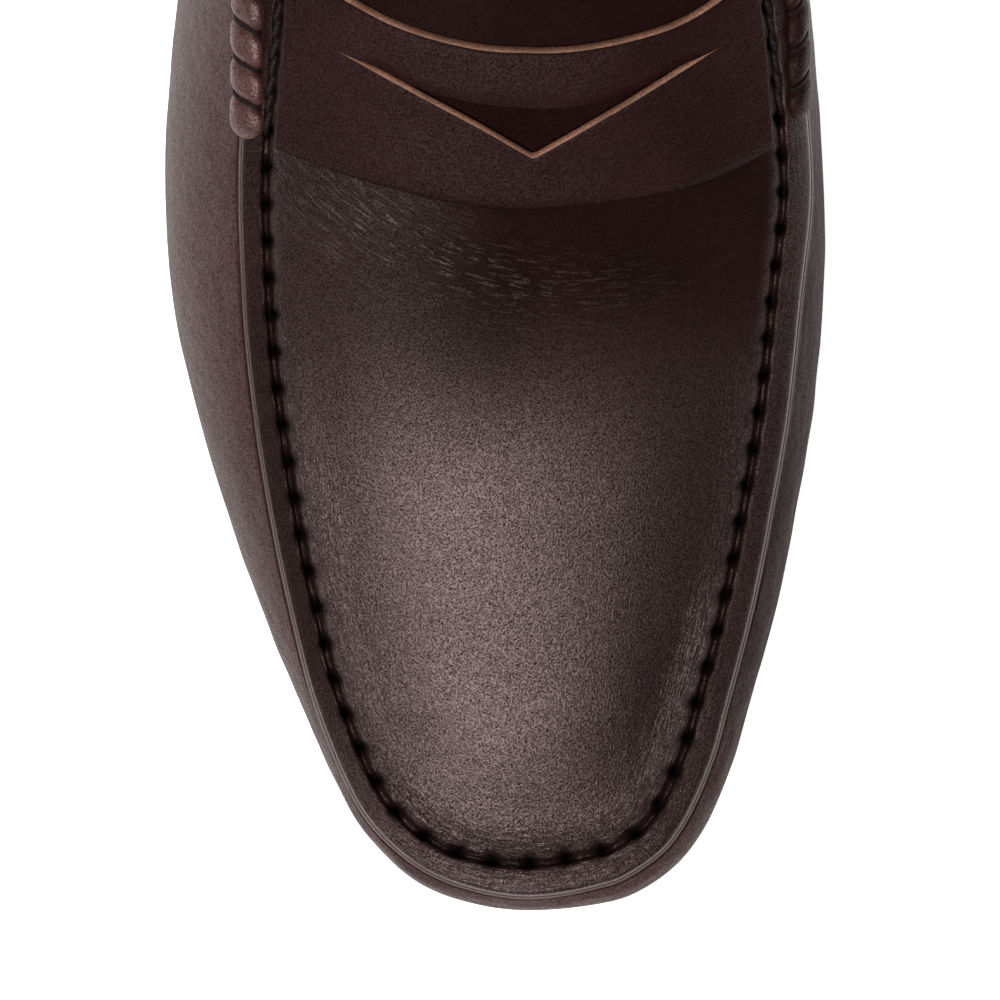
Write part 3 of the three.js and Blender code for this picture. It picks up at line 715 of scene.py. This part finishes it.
def needle_hole(arc):
    """1 at each needle hole, falling to 0 between two."""
    from_hole = (arc / STITCH_PITCH + 0.5) % 1 - 0.5
    return np.exp(-(from_hole * STITCH_PITCH) ** 2)


def gather(s, out):
    """Depth of the wrinkles beside the seam: most at the toe and along the outer side."""
    side = mix(0.45, 1.0, 1 - ease(s, 5, 60)) * mix(0.8, 1.0, 1 - ease(-s, 60, 120))
    inside = np.where(out < 0, np.exp(-((-out - 0.6) / 4.6) ** 2), np.exp(-((out - 0.5) / 3.2) ** 2) * 0.6)
    return side * inside * 0.22


def worn(x, t):
    """How dull the leather is toward the strap, where the foot bends it, and behind the strap."""
    flex = ease(t, 62, 102) * mix(0.6, 0.97, ease(x, -18, 3))
    return np.maximum(np.maximum(flex, 0.45 * ease(x, 20, 32) * ease(t, 44, 56)), 0.92 * ease(t, 128, 133))


def crease_fields(plan):
    """Distance across the flex creases, along them, and their depth."""
    dx, dt = plan[..., 0] - 13, plan[..., 1] - 146
    far, angle = np.hypot(dx * 0.9, dt), np.arctan2(dx, -dt)
    middle = bell(far, 49, 5) * bell(angle, -0.28, 0.45)
    upper = bell(far, 47, 8) * bell(angle, -0.75, 0.28)
    return far, angle * 50, 0.11 * middle + 0.10 * upper


# The vamp's rim: (distance outside the flange's edge, height). It turns up into the flange and shuts the seam.
VAMP_RIM = [(0.78, -2.6), (0.72, -1.8), (0.66, -1.3), (0.56, -0.95), (0.34, -0.5), (0.1, -0.4), (-0.6, -0.3),
            (-1.1, 0.35)]
# The apron across the seam, from its cut edge to the flat: (share of the flange, height)
FLANGE = [(1.0, 0.5), (0.985, 0.8), (0.95, 1.0), (0.88, 1.14), (0.78, 1.28), (0.66, 1.4), (0.54, 1.5),
          (0.43, 1.58), (0.34, 1.64), (0.27, 1.66), (0.2, 1.6), (0.14, 1.4), (0.08, 0.9), (0.03, 0.1)]
# Inside the seam, up to the flat: (distance outside the seam, height)
APRON_EDGE = [(-0.15, -0.28), (-0.35, 0.0), (-0.55, 0.45), (-0.8, 0.95), (-1.1, 1.35), (-1.5, 1.62),
              (-2.0, 1.76), (-2.6, 1.8), (-3.3, 1.78), (-4.1, 1.72), (-5.0, 1.68), (-6.0, 1.65), (-7.0, 1.65),
              (-8.2, 1.65)]
APRON_HIGH = 1.65
FLANGE_UNDER = [(0.82, -0.10), (1.04, 0.0)]


def add_vamp():
    s, arc = even_stations(VAMP_REAR, 0.6)
    S = s[:, None]
    behind = behind_strap(S)
    reach = flange_width(S) + 0.9
    top = mix(wall_v(S, reach), 0.97, behind)
    low = np.concatenate([np.linspace(-1, 0, 9)[:-1], np.linspace(0, WIDEST_V, 14)])[None, :]
    V = np.concatenate([low + 0 * S, mix(WIDEST_V, top, np.linspace(0, 1, 34)[None, 1:])], 1)
    A = np.broadcast_to(arc[:, None], V.shape)
    SS = np.broadcast_to(S, V.shape)
    soft = 0.16 * noise(A / 15, V * 5, 3) + 0.10 * noise(A / 5, V * 13, 4) * ease(V, 0.1, 0.5)
    wall = on_upper(SS, V, soft * ease(V, -0.9, 0.1))
    rim = []
    for out, up in VAMP_RIM:
        lip = beside_seam(s, flange_width(s) + out, up + 0.04 * noise(arc / 2.5, out, 5))
        plain = on_upper(s, np.full_like(s, 0.972), -LEATHER * min(1.0, max(0.0, (0.9 - out) * 2)))
        rim.append(mix(lip, plain, behind))
    points = np.concatenate([wall, np.stack(rim, 1)], 1)
    R = 20 - 15 * ease(V, 0.3, 1.0)
    R = np.concatenate([R, np.full((len(s), len(VAMP_RIM)), 5.0)], 1)
    # painted shade: the inner wall's colour is darkened and its shine dulled, for the side the lamp doesn't
    # reach
    shade = 0.6 * ease(S, 0, 45) * (1 - ease(S, 110, 150)) * ease(V, 0.15, 0.45)
    shade = np.concatenate([shade, shade[:, -1:].repeat(len(VAMP_RIM), 1)], 1)
    fields = {"rho": R, "arc": arc[:, None], "gather": 0.05 * bell(R, 5, 3), "groove": shade, "dull": shade}
    cut_face = points.shape[1] - 5
    mesh = grid_mesh("vamp_upper", points, [vamp_skin, dark_edge], fields, raw=[cut_face])
    link("vamp_upper", weld(mesh), "shoe", ["vamp"])


def add_apron():
    s, arc = even_stations(APRON_REAR, 0.5)
    S = s[:, None]
    width = flange_width(S)
    flange = np.array(FLANGE_UNDER + FLANGE)
    edge = np.array(APRON_EDGE)
    inner = -mix(9.2, seam_depth(S), np.linspace(0, 1, 56)[None, :])
    R = np.concatenate([flange[None, :, 0] * width, edge[None, :, 0] + 0 * S, inner], 1)
    H = np.concatenate([flange[None, :, 1] + 0 * S, edge[None, :, 1] + 0 * S, APRON_HIGH + 0 * inner], 1)
    SS, A = np.broadcast_to(S, R.shape), np.broadcast_to(arc[:, None], R.shape)
    hole = needle_hole(A)
    H = H - 1.0 * hole * bell(R, -0.15, 0.65) - 0.35 * hole * bell(R, -1.0, 0.7)
    H = H + 0.34 * (1 - hole) * bell(R, -1.2, 0.8) + 0.2 * (1 - hole) * bell(R, 0.9, 0.6)
    H = H + 0.6 * (1 - hole) * bell(R, -0.1, 0.45)
    H = H + 0.12 * noise(A / 1.9, R * 1.2, 5) * bell(R, -2.6, 2.4)
    H = H + 0.06 * noise(A / 3.1, R, 7) * bell(R, 2.4, 1.4)
    H = H + 0.07 * noise(A / 9, R / 3, 6) * ease(R, -12, -5)
    plan = surface(SS, np.minimum(seam_v(SS, np.minimum(R, 0)), 2))
    H = H + 0.25 * noise(plan[..., 0] / 17 + 3, plan[..., 1] / 21, 8) * ease(-R, 3, 14)
    points = beside_seam(SS, R, H)
    rear = beside_seam(SS, R, H - 1.1)
    points = np.concatenate([rear[:1], points, rear[-1:]], 0)
    creases, along, amount = crease_fields(plan)
    ahead = np.abs(plan[..., 1] - strap_front(np.clip(np.sign(SS) * (1 + R / seam_depth(SS)), -1, 1)))
    # painted shade: the colour darkens in the seam's groove and needle holes, and a painted shadow runs just
    # ahead of the strap's front edge
    wander = R + 0.4 * noise(A / 2.2, 0 * A, 9)
    groove = 0.4 * bell(wander, -0.1, 0.5) + hole * bell(wander, -0.6, 1.1)
    groove = groove + 0.6 * np.exp(-ahead / 0.8) * ease(-R, 0, 2)
    dull = ease(R, 0.4, 1.0) * (0.75 * ease(-SS, 5, 40) + 0.5 * ease(SS, 5, 40))
    dull = np.maximum(dull, ease(-R, 0, 3) * worn(plan[..., 0], plan[..., 1]))
    fields = {"rho": R, "arc": A, "gather": gather(SS, R), "groove": np.minimum(1, groove), "dull": dull,
              "crease": creases, "crease_along": along, "crease_amount": amount}
    fields = {key: bordered(value, across=False) for key, value in fields.items()}
    mesh = grid_mesh("apron_upper", points, [apron_skin, dark_edge], fields, raw=[1],
                     raw_rows=(0, points.shape[0] - 2))
    link("apron_upper", weld(mesh), "shoe", ["apron"])


SEAM_THREAD = 0.00024


def add_seam_stitches():
    """One run of thread between each pair of needle holes, along the apron's side of the seam's channel."""
    s, arc = arc_lengths(-119, 119)
    grids = []
    for k in range(math.ceil(arc[0] / STITCH_PITCH), int(arc[-1] / STITCH_PITCH)):
        a = np.linspace((k + 0.12) * STITCH_PITCH, (k + 0.88) * STITCH_PITCH, 9)
        at = np.interp(a, arc, s)
        rise = np.sin(np.linspace(0, math.pi, 9)) ** 0.6
        path = beside_seam(at, -0.15 - 0.15 * rise, -0.9 + rise)
        grids.append(tube_points(path, upper_normal(at, 1.02), SEAM_THREAD, SEAM_THREAD, 8))
    add_tubes("seam_stitches", grids, dark_thread, "apron_seam_thread")


add_vamp()
add_apron()
add_seam_stitches()


# --- strap and beef rolls ---

STRAP_HIGH = 3.3
SLOT_ENDS = (-23.3, 34.0)
SLOT_END_T = 135.6
SLOT_LOWER = curve([
    (SLOT_ENDS[0], SLOT_END_T), (-11.4, 128.2), (-2, 122.7), (4.8, 118.6), (5.8, 118.2), (6.8, 118.6),
    (14, 122.9), (22, 127.8), (SLOT_ENDS[1], SLOT_END_T)])
SLOT_UPPER = curve([
    (SLOT_ENDS[0], SLOT_END_T), (-17, 132.2), (-11.4, 129.1), (-5, 126.9), (1, 125.8), (7.7, 125.4),
    (14, 126.1), (20, 128.1), (25, 130.6), (29.5, 133.2), (SLOT_ENDS[1], SLOT_END_T)])


def strap_plan(a, t):
    """Plan points of the instep, a across it (-1 outer seam, 1 inner seam) and t behind the toe."""
    return surface(np.where(a < 0, -t, t), 2 - np.abs(a))


def strap_point(a, t, offset):
    """A point of the strap; its ends turn down into the seam."""
    a, t, offset = np.broadcast_arrays(a, t, offset)
    return on_upper(np.where(a < 0, -t, t), 2 - np.abs(a), offset - 2.6 * ease(np.abs(a), 0.915, 0.965))


def slot_lines(a):
    """t of the slot's lower and upper edges over a, which join beyond its ends, and how far it is open."""
    line = 0.5 * (strap_front(a) + strap_rear(a))
    x = strap_plan(a, line)[:, 0]
    inside = (x > SLOT_ENDS[0]) & (x < SLOT_ENDS[1])
    join = np.where(inside, 0, SLOT_END_T)
    return (np.where(inside, SLOT_LOWER(x), join), np.where(inside, SLOT_UPPER(x), join),
            ease(x, SLOT_ENDS[0], SLOT_ENDS[0] + 7) * ease(-x, -SLOT_ENDS[1], -SLOT_ENDS[1] + 7))


def strap_relief(A, T):
    return 0.14 * noise(A * 3, T / 9, 11) + 0.05 * noise(A * 11, T / 3, 12)


def add_strap():
    """A front and a rear strip that meet beyond the slot's ends. The cut edges show paler leather."""
    a = np.linspace(-0.965, 0.965, 360)
    lower, upper, open_ = slot_lines(a)
    front, rear = strap_front(a), strap_rear(a)
    k = 0.5 - 0.5 * np.cos(math.pi * np.linspace(0, 1, 40)[None, :])
    columns = [(front + 1.5, STRAP_HIGH - 1.7 + 0 * a), (front + 0.15, STRAP_HIGH - 1.5 + 0 * a),
               (front - 0.1, STRAP_HIGH - 1.0 + 0 * a)]
    T = mix(front[:, None], lower[:, None], k)
    turned = 0.5 * np.exp(-(T - front[:, None]) / 0.6)
    before = lower[:, None] - T
    lip = open_[:, None] * (0.45 * np.exp(-before / 2.2) - 0.25 * np.exp(-before / 0.35))
    A = np.broadcast_to(a[:, None], T.shape)
    columns += list(zip(T.T, (STRAP_HIGH - turned + lip + strap_relief(A, T)).T))
    end = columns[-1][1]
    columns += [(lower + 0.6 * open_, end - 0.9 * open_), (lower + 0.4 * open_, end - 1.25 * open_)]
    first_gap = len(columns) - 1
    T = mix(upper[:, None], rear[:, None], k)
    dip = open_[:, None] * 0.7 * np.exp(-(T - upper[:, None]) / 2.4)
    cut = 0.3 * np.exp(-(rear[:, None] - T) / 0.35)
    past = T - upper[:, None]
    relief = mix(end[:, None] - STRAP_HIGH, strap_relief(A, T), np.clip(past / 3, 0, 1))
    relief = np.where(open_[:, None] > 0, mix(relief, 0, open_[:, None] * bell(past, 0, 1.5)), relief)
    high = STRAP_HIGH - dip - cut + relief
    start_high, end_high = high[:, 0], high[:, -1]
    columns += [(upper + 0.4 * open_, start_high - 1.3 * open_),
                (upper + 0.05 * open_, start_high - 0.45 * open_)]
    columns += list(zip(T.T, high.T))
    columns += [(rear + 0.6, end_high - 1.1), (rear + 0.1, end_high - 1.5), (rear - 1.5, end_high - 1.6)]
    T = np.stack([c[0] for c in columns], 1)
    H = np.stack([c[1] for c in columns], 1)
    points = strap_point(a[:, None], T, H)[:, ::-1]
    last = points.shape[1] - 2
    raw = [2, last - first_gap + 1, last - first_gap + 2]
    # painted shade: the colour darkens into a soft dark line along the strap's front edge
    fields = {"groove": 0.85 * np.exp(-np.maximum(T - front[:, None], 0) / 0.45)[:, ::-1]}
    mesh = grid_mesh("strap", points, [strap_skin, tan_edge], fields, raw=raw, left_out=[last - first_gap])
    link("strap", weld(mesh), "shoe", ["saddle_strap"])


def add_strap_backing():
    a = np.linspace(-0.9, 0.9, 120)
    T = mix(strap_front(a)[:, None] + 1.6, strap_rear(a)[:, None] - 1.6, np.linspace(0, 1, 24)[None, :])
    H = 1.95 + 0.05 * noise(a[:, None] * 5 + 0 * T, T / 6, 13)
    mesh = grid_mesh("strap_under", strap_point(a[:, None], T, H)[:, ::-1], [under_skin])
    link("strap_under", mesh, "shoe", ["strap_backing"])


# Each roll: side, first tie, distance outside the seam at front and rear, half width, height, slant of ties
ROLLS = {"lateral": (-1, 127.5, 2.9, 4.7, 3.1, 1.7, 1.1), "medial": (1, 130.3, 2.6, 4.2, 2.8, 2.0, 1.6)}
ROLL_REAR = 152.0
ROLL_UNDER = 0.9
TIE_PITCH = 5.85
TIE_THREAD = 0.00017
TIE_DEPTH = 0.82


def roll_frame(side, front_out, rear_out, t):
    """The middle line of a roll and its two cross directions."""
    s = side * t
    out = mix(front_out, rear_out, ease(t, 120, 145))
    path = beside_seam(s, out, 0.5)
    along = unit(np.gradient(path, axis=0))
    up = square_to(upper_normal(s, wall_v(s, out * 0.6)), along)
    return path, up, np.cross(along, up)


def roll_section(angle, wide, high):
    """A roll's half width and height round its section, with a flattened top."""
    c, z = np.cos(angle), np.sin(angle)
    return np.sign(c) * np.abs(c) ** 0.8 * wide, np.where(z > 0, z * high, z * ROLL_UNDER)


def add_roll(name, side, first_tie, front_out, rear_out, wide, high, slant):
    """A flat roll of leather over the strap's end, drawn in by each tie, and the thread of its ties."""
    front = first_tie - 6.6
    ties = [first_tie + TIE_PITCH * k for k in range(5) if first_tie + TIE_PITCH * k < ROLL_REAR - 1]
    t = np.linspace(front, ROLL_REAR, 190)
    path, up, across = roll_frame(side, front_out, rear_out, t)
    angle = np.linspace(0, 2 * math.pi, 40, endpoint=False)
    ends = np.clip(np.minimum((t - front) / 3.4, (ROLL_REAR - t) / 2.5), 0, 1)
    close = np.sqrt(np.clip(1 - (1 - ends) ** 2, 0.01, 1))[:, None]
    spot = t[:, None] - slant * np.cos(angle)[None, :] * side
    drawn = sum(bell(spot, tie, 1.0) for tie in ties)
    puff = (1 - 0.28 * drawn) * (1 + 0.035 * noise(spot / 2.3, angle[None, :] * 2, 20 + side))
    half, rise = roll_section(angle, wide, high)
    ring_points = (across[:, None] * (half[None, :] * close * puff)[..., None]
                   + up[:, None] * (rise[None, :] * close * puff)[..., None])
    # painted shade: the inner roll takes the darker copy of the leather
    skin = inner_roll_painted_shade_skin if side > 0 else outer_roll_skin
    shell = capped(path, path[:, None] + ring_points / 1000, rear=False)
    add_tubes(f"roll_{name}", [shell], skin, f"beefroll_{name}")
    grids = []
    for tie in ties:
        for shift in (-0.16, 0.18):
            swing = np.linspace(-0.4, math.pi + 0.4, 26)
            at = tie + shift + slant * np.cos(swing) * side
            half, rise = roll_section(swing, wide, high)
            spoke = (sample(at, t, across) * (half * TIE_DEPTH)[:, None]
                     + sample(at, t, up) * (rise * TIE_DEPTH)[:, None])
            grids.append(tube_points(sample(at, t, path) + spoke / 1000, spoke, TIE_THREAD, TIE_THREAD, 8))
    grids += side_lacing(side, first_tie)
    add_tubes(f"roll_ties_{name}", grids, dark_thread, f"beefroll_thread_{name}")


def side_lacing(side, first_tie):
    """The thick thread in the channel between the strap and a roll: it slants from each tie to the next."""
    grids = []
    for k in range(-1, 4):
        for shift in (0.0, 0.5):
            at = np.linspace(0, 1, 11)
            t = first_tie + TIE_PITCH * (k + shift + 0.72 * at) + 0.3
            out = 0.55 - 0.85 * at + 0.1 * noise(t / 2, 0 * t, 61)
            up = -0.55 + 1.35 * np.sin(math.pi * at) ** 0.6
            s = side * np.minimum(t, ROLL_REAR)
            grids.append(tube_points(beside_seam(s, out, up), upper_normal(s, 1.02), 0.00075, 0.00062, 10))
    return grids


add_strap()
add_strap_backing()
for label, roll in ROLLS.items():
    add_roll(label, *roll)


# --- tongue ---

def tongue_surface(a, t):
    across = a * tongue_half_width(t)
    drop = mix(16.5, 25, ease(t, 146, 172)) * (np.abs(across) / 40) ** CROWN_POWER
    return np.stack([instep_x(t) + across, t + 0 * a, spine_height(t) - drop], -1)


def tongue_normal(a, t):
    n = np.cross(tongue_surface(a + 0.02, t) - tongue_surface(a - 0.02, t),
                 tongue_surface(a, t + 0.3) - tongue_surface(a, t - 0.3))
    return unit(n)


def tongue_point(a, t, offset):
    return placed(tongue_surface(a, t) + tongue_normal(a, t) * np.asarray(offset)[..., None])


def add_tongue(name, front, rear, reach, high, low, materials, node_name):
    a = np.linspace(-reach, reach, 100)
    t = mix(front, rear, 1 - (1 - np.linspace(0, 1, 90)) ** 1.4)
    A, T = np.meshgrid(a, t, indexing="ij")
    near = np.minimum(reach - np.abs(A), (rear - T) / 30)
    side = np.sign(high - low)
    H = high - side * 0.45 * np.exp(-near / 0.02)
    H = H + 0.12 * noise(A * 2.5, T / 12, 31) + 0.05 * noise(A * 9, T / 4, 32)
    points = cut_edges(tongue_point(A, T, H), tongue_point(A, T, np.full_like(H, low)))
    rows, columns = points.shape[0] - 2, points.shape[1] - 2
    mesh = grid_mesh(name, points, materials, raw=(columns,), raw_rows=(0, rows))
    link(name, mesh, "tongue_flap", [node_name])


def add_tongue_stitches():
    """A row inside the tongue's edge and two across its front. They count with the lining."""
    t = np.linspace(TONGUE_FRONT + 1, TONGUE_REAR - 3.5, 160)
    a = 1 - 2.6 / tongue_half_width(t)
    tip = np.linspace(-a[-1], a[-1], 40)[1:-1]
    rim_a = np.concatenate([-a, tip, a[::-1]])
    rim_t = np.concatenate([t, np.full(len(tip), t[-1]), t[::-1]])
    path = tongue_point(rim_a, rim_t, np.full_like(rim_t, 1.62))
    grids = stitch_row(path, tongue_normal(rim_a, rim_t), 3.2, 0.26)
    for back in (2.2, 5.0):
        a, t = np.linspace(-0.9, 0.9, 160), np.full(160, TONGUE_FRONT + back)
        grids += stitch_row(tongue_point(a, t, np.full(160, 1.68)), tongue_normal(a, t), 3.0, 0.26)
    add_tubes("tongue_stitches", grids, brown_thread, "tongue_lining", "tongue_flap")


add_tongue("tongue_upper", TONGUE_FRONT - 0.2, TONGUE_REAR, 1, 1.65, 0.25, [dark_skin, dark_edge], "tongue")
add_tongue("tongue_under", TONGUE_FRONT + 1, TONGUE_REAR - 1.5, 0.96, -1.05, 0.15, [lining_skin, tan_edge],
           "tongue_lining")
add_tongue_stitches()


# --- rear of the upper ---

def spread(low, high, step):
    return np.linspace(low, high, int(abs(high - low) / step) + 2)


def lift(s, v=1.0):
    """Over the vamp's rear edge the quarter lies outside it; behind that it sinks to the vamp's level."""
    step = mix(0.45, 1.35, ease(v, -0.1, 0.6))
    return step * (1 - ease(np.abs(wrap(s)), VAMP_REAR + 1, VAMP_REAR + 14))


def add_quarter(name, side):
    s = side * spread(QUARTER_FRONT, LENGTH - 0.2, 1.1)
    s = s if side > 0 else s[::-1]
    rows = np.concatenate([np.linspace(-0.5, 0, 6)[:-1], np.linspace(0, 0.97, 44)])[None, :]
    offset = lift(s[:, None], rows)
    sheet(f"quarter_{name}_upper", s, rows, offset, 1.35, [quarter_skin, dark_edge],
          [f"quarter_{name}"], 0.14)
    inner = side * spread(VAMP_REAR + 0.8, LENGTH - 0.2, 1.6)
    inner = inner if side > 0 else inner[::-1]
    sheet(f"quarter_{name}_inside", inner, np.linspace(0.05, 0.97, 30)[None, :], -3.6, -0.6,
          [lining_skin, lining_skin], [f"quarter_lining_{name}"], 0.08, flip=True)
    v = np.linspace(0.12, 0.9, 120)
    lines = [(side * (QUARTER_FRONT + 2.4) + 0 * v, v), (side * (QUARTER_FRONT + 5.4) + 0 * v, v)]
    grids = rows_on_upper(lines, lift(QUARTER_FRONT, v) + 0.02, 3.0, 0.27)
    add_tubes(f"side_stitches_{name}", grids, brown_thread, f"side_seam_thread_{name}")


def add_heel():
    strip = LENGTH + np.linspace(-6, 6, 24)
    rows = np.linspace(0.44, 0.96, 40)[None, :]
    sheet("backstay_strip", strip, rows, 1.45, 1.15, [dark_skin, dark_edge], ["backstay"], 0.06)
    v = np.linspace(0.46, 0.94, 120)
    lines = [(LENGTH - 4.6 + 0 * v, v), (LENGTH + 4.6 + 0 * v, v)]
    grids = rows_on_upper(lines, 1.42, 2.8, 0.25)
    add_tubes("backstay_stitches", grids, brown_thread, "backstay")
    grip = spread(258, 2 * LENGTH - 258, 1.5)
    sheet("heel_grip_suede", grip, np.linspace(0.4, 0.93, 30)[None, :], -4.6, -0.7, [suede, suede],
          ["heel_grip"], 0.08, flip=True)
    tab = LENGTH + np.linspace(-8, 8, 34)
    rows = np.linspace(0.08, 0.4, 26)
    ribs = 0.35 * np.cos(rows * 2 * math.pi / 0.064)[None, :] * (np.abs(tab - LENGTH) < 6.6)[:, None]
    sheet("heel_tab", tab, rows[None, :], 1.95 + ribs, 1.7, [rubber_skin, rubber_skin],
          ["heel_rubber_tab"], 0.0)


def add_topline():
    """A folded strip over the topline, pulled slightly in at each stitch below it."""
    half = spread(QUARTER_FRONT + 1.5, LENGTH, 0.8)
    s = np.concatenate([half, 2 * LENGTH - half[-2::-1]])
    offset = -1.7 + lift(s) / 2
    edge, above = on_upper(s, 0.97, offset), on_upper(s, 1.0, offset)
    rise = unit(above - edge)
    centre = edge + rise * 0.0021
    normal = square_to(upper_normal(s, 0.985), rise)
    angle = np.linspace(0, 2 * math.pi, 24, endpoint=False)
    d = run_length(centre) * 1000
    pull = 1 - 0.05 * (0.5 + 0.5 * np.cos(2 * math.pi * d / 3.0)) + 0.04 * noise(d / 5, 0 * d, 41)
    ring_points = (normal[:, None] * (np.cos(angle)[None, :] * 1.5 * pull[:, None])[..., None]
                   + rise[:, None] * (np.sin(angle)[None, :] * 2.4)[..., None]) / 1000
    shell = capped(centre, centre[:, None] + ring_points, rear=False)
    add_tubes("topline_fold", [shell], dark_skin, "topline_binding")
    path = centre - rise * 0.0012 + normal * 0.00138
    grids = stitch_row(path, normal, 3.0, 0.24)
    add_tubes("topline_stitches", grids, brown_thread, "topline_binding")


for label, side in (("lateral", -1), ("medial", 1)):
    add_quarter(label, side)
add_heel()
add_topline()


# --- linings, footbed and sole ---

def add_linings():
    s = spread(-VAMP_REAR, VAMP_REAR, 1.4)
    rows = mix(0.05, mix(1.02, 0.97, behind_strap(s)[:, None]), np.linspace(0, 1, 28)[None, :])
    skins = [lining_skin, lining_skin]
    sheet("vamp_inside", s, rows, -3.6, -0.6, skins, ["vamp_lining"], 0.06, flip=True)
    s = spread(-APRON_REAR, APRON_REAR, 1.4)
    rows = np.linspace(1.13, 1.995, 26)[None, :]
    sheet("apron_inside", s, rows, -0.75, -0.7, skins, ["apron_lining"], 0.05, flip=True)
    under = np.linspace(-0.53, -1, 12)
    s = spread(VAMP_REAR + 0.8, HEEL_FAN - 1, 1.5)
    S = s[:, None]
    grid = np.concatenate([on_upper(-S, under[None, :], 0.0), on_upper(S, under[None, ::-1], 0.0)], 1)
    grid[..., 2] -= 0.0001 * noise(grid[..., 0] * 120, grid[..., 1] * 120, 44)
    mesh = weld(grid_mesh("waist_under", grid, [quarter_skin]))
    link("waist_under", mesh, "shoe", ["waist_leather"])


def plate(inset, s, high, low, drop=0.35):
    """A flat layer of the footbed or sole with rounded edges, from its middle over the edge to below."""
    k = np.concatenate([np.linspace(1, 0.06, 26), [0.04, 0.025, 0.012, 0.004, 0]])
    z = high - drop * np.exp(-k / 0.012)
    S = s[:, None]
    edge_x, edge_t = ring(S, inset(S))
    t_mid = spine_t(S)

    def at(share, level):
        x, t = mix(edge_x, spine_x(t_mid), share[None, :]), mix(edge_t, t_mid, share[None, :])
        return placed(np.stack([x, t, np.broadcast_to(level, x.shape)], -1))
    return np.concatenate([at(k, z), at(k[::-1], low + 0 * z)], 1)


def add_sock():
    s = spread(-LENGTH, LENGTH, 1.2)
    points = plate(lambda S: 11 + 0 * S, s, 11.9, 10.95)
    points[..., 2] += 0.00012 * noise(points[..., 0] * 90, points[..., 1] * 70, 51)
    link("sock", weld(grid_mesh("sock", points, [sock_skin])), "shoe", ["sock_liner"])
    s = spread(-LENGTH + 1, LENGTH - 1, 0.8)
    x, t = ring(s, 14.2 + 0 * s)
    path = placed(np.stack([x, t, 11.9 + 0 * x], -1))
    up = np.broadcast_to((0.0, 0.0, 1.0), path.shape)
    add_tubes("sock_stitches", stitch_row(path, up, 3.4, 0.24), brown_thread, "sock_liner")


# A pebble's profile: (radius, height over the ground). Its end is flat with a shallow dimple.
PEBBLE = [
    (4.75, 3.5), (4.5, 3.2), (4.38, 2.6), (4.2, 1.6), (3.95, 0.8), (3.6, 0.28), (3.2, 0.05), (2.8, 0.0),
    (1.9, 0.0), (1.6, 0.12), (1.0, 0.2), (0.0, 0.2)]
PEBBLE_PITCH = 13.5
ROW_PITCH = PEBBLE_PITCH * 0.866


def pebble(x, t):
    profile = np.array(PEBBLE)
    angle = np.linspace(0, 2 * math.pi, 28, endpoint=False)
    ring_x = x + profile[:, :1] * np.cos(angle)[None, :]
    ring_t = t + profile[:, :1] * np.sin(angle)[None, :]
    raised = placed(np.array([[x, t, 0.0]]))[0, 2] * 1000
    z = np.broadcast_to(profile[:, 1:] + raised, ring_x.shape)
    return np.stack([(ring_x + CENTRE_X) / 1000, ring_t / 1000 + TOE_Y, z / 1000], -1)


def add_sole(name, node_name, inset, s, first, last):
    """A rubber unit: a thin pad with staggered rows of round pebbles."""
    grids = []
    for row, t in enumerate(np.arange(first, last + 0.01, ROW_PITCH)):
        left, right = ring(-t, inset(t) + 5.5)[0], ring(t, inset(t) + 5.5)[0]
        count = max(1, int((right - left) / PEBBLE_PITCH + 0.5) + row % 2)
        for i in range(count):
            grids.append(pebble(mix(left, right, 0.5 if count == 1 else i / (count - 1)), t))
    add_tubes(f"{name}_pebbles", grids, rubber_skin, node_name)
    points = plate(inset, s, 4.7, 3.35, 0.2)
    link(f"{name}_pad", weld(grid_mesh(f"{name}_pad", points, [rubber_skin])), "shoe", [node_name])


def fore_inset(s):
    return 15 + 20 * ease(np.abs(s), 118, 152)


def heel_inset(s):
    return 13 + 12 * (1 - ease(np.abs(wrap(s)), 198, 228))


def carry(name, material):
    """A hidden solid stays as it is, with its own material."""
    solid = bpy.data.objects[name]
    for slot in solid.material_slots:
        slot.material = material


add_linings()
add_sock()
add_sole("fore_sole", "forefoot_sole", fore_inset, spread(-148, 148, 1.2), 27, 143)
add_sole("rear_sole", "heel_sole", heel_inset, spread(204, 2 * LENGTH - 204, 1.2), 211, 264)
for hidden in ("toe_puff", "heel_counter", "insole_board"):
    carry(hidden, board)
carry("footbed_foam", foam)


# --- floor and light ---

def add_floor():
    """A plain pale floor, bright enough to light the walls of the shoe from below."""
    mesh = bpy.data.meshes.new("floor")
    mesh.from_pydata([(-6, -6, 0), (6, -6, 0), (6, 6, 0), (-6, 6, 0)], [], [(0, 1, 2, 3)])
    material = bpy.data.materials.new("pale_floor")
    material.use_nodes = True
    set_inputs(material.node_tree.nodes["Principled BSDF"], Base_Color=(0.85, 0.85, 0.85, 1), Roughness=0.9,
               Emission_Color=(1, 1, 1, 1), Emission_Strength=0.97)
    mesh.materials.append(material)
    floor = into_scene("floor", mesh)


def add_light(name, place, size, power, aim=(0, TOE_Y + 0.06, 0.03)):
    """A soft round lamp."""
    data = bpy.data.lights.new(name, "AREA")
    data.shape = "DISK"
    data.size = size
    data.energy = power
    lamp = into_scene(name, data)
    lamp.location = place
    lamp.rotation_euler = (Vector(aim) - Vector(place)).to_track_quat("-Z", "Y").to_euler()


def add_world():
    world = bpy.data.worlds.new("studio")
    world.use_nodes = True
    set_inputs(world.node_tree.nodes["Background"], Color=(1, 1, 1, 1), Strength=0.04)
    bpy.context.scene.world = world
    bpy.context.scene.view_settings.view_transform = "Standard"


add_floor()
add_light("key", (-0.28, -0.63, 1.45), 0.50, 17)
add_light("fill", (-0.25, 1.2, 0.5), 0.7, 5)
add_world()
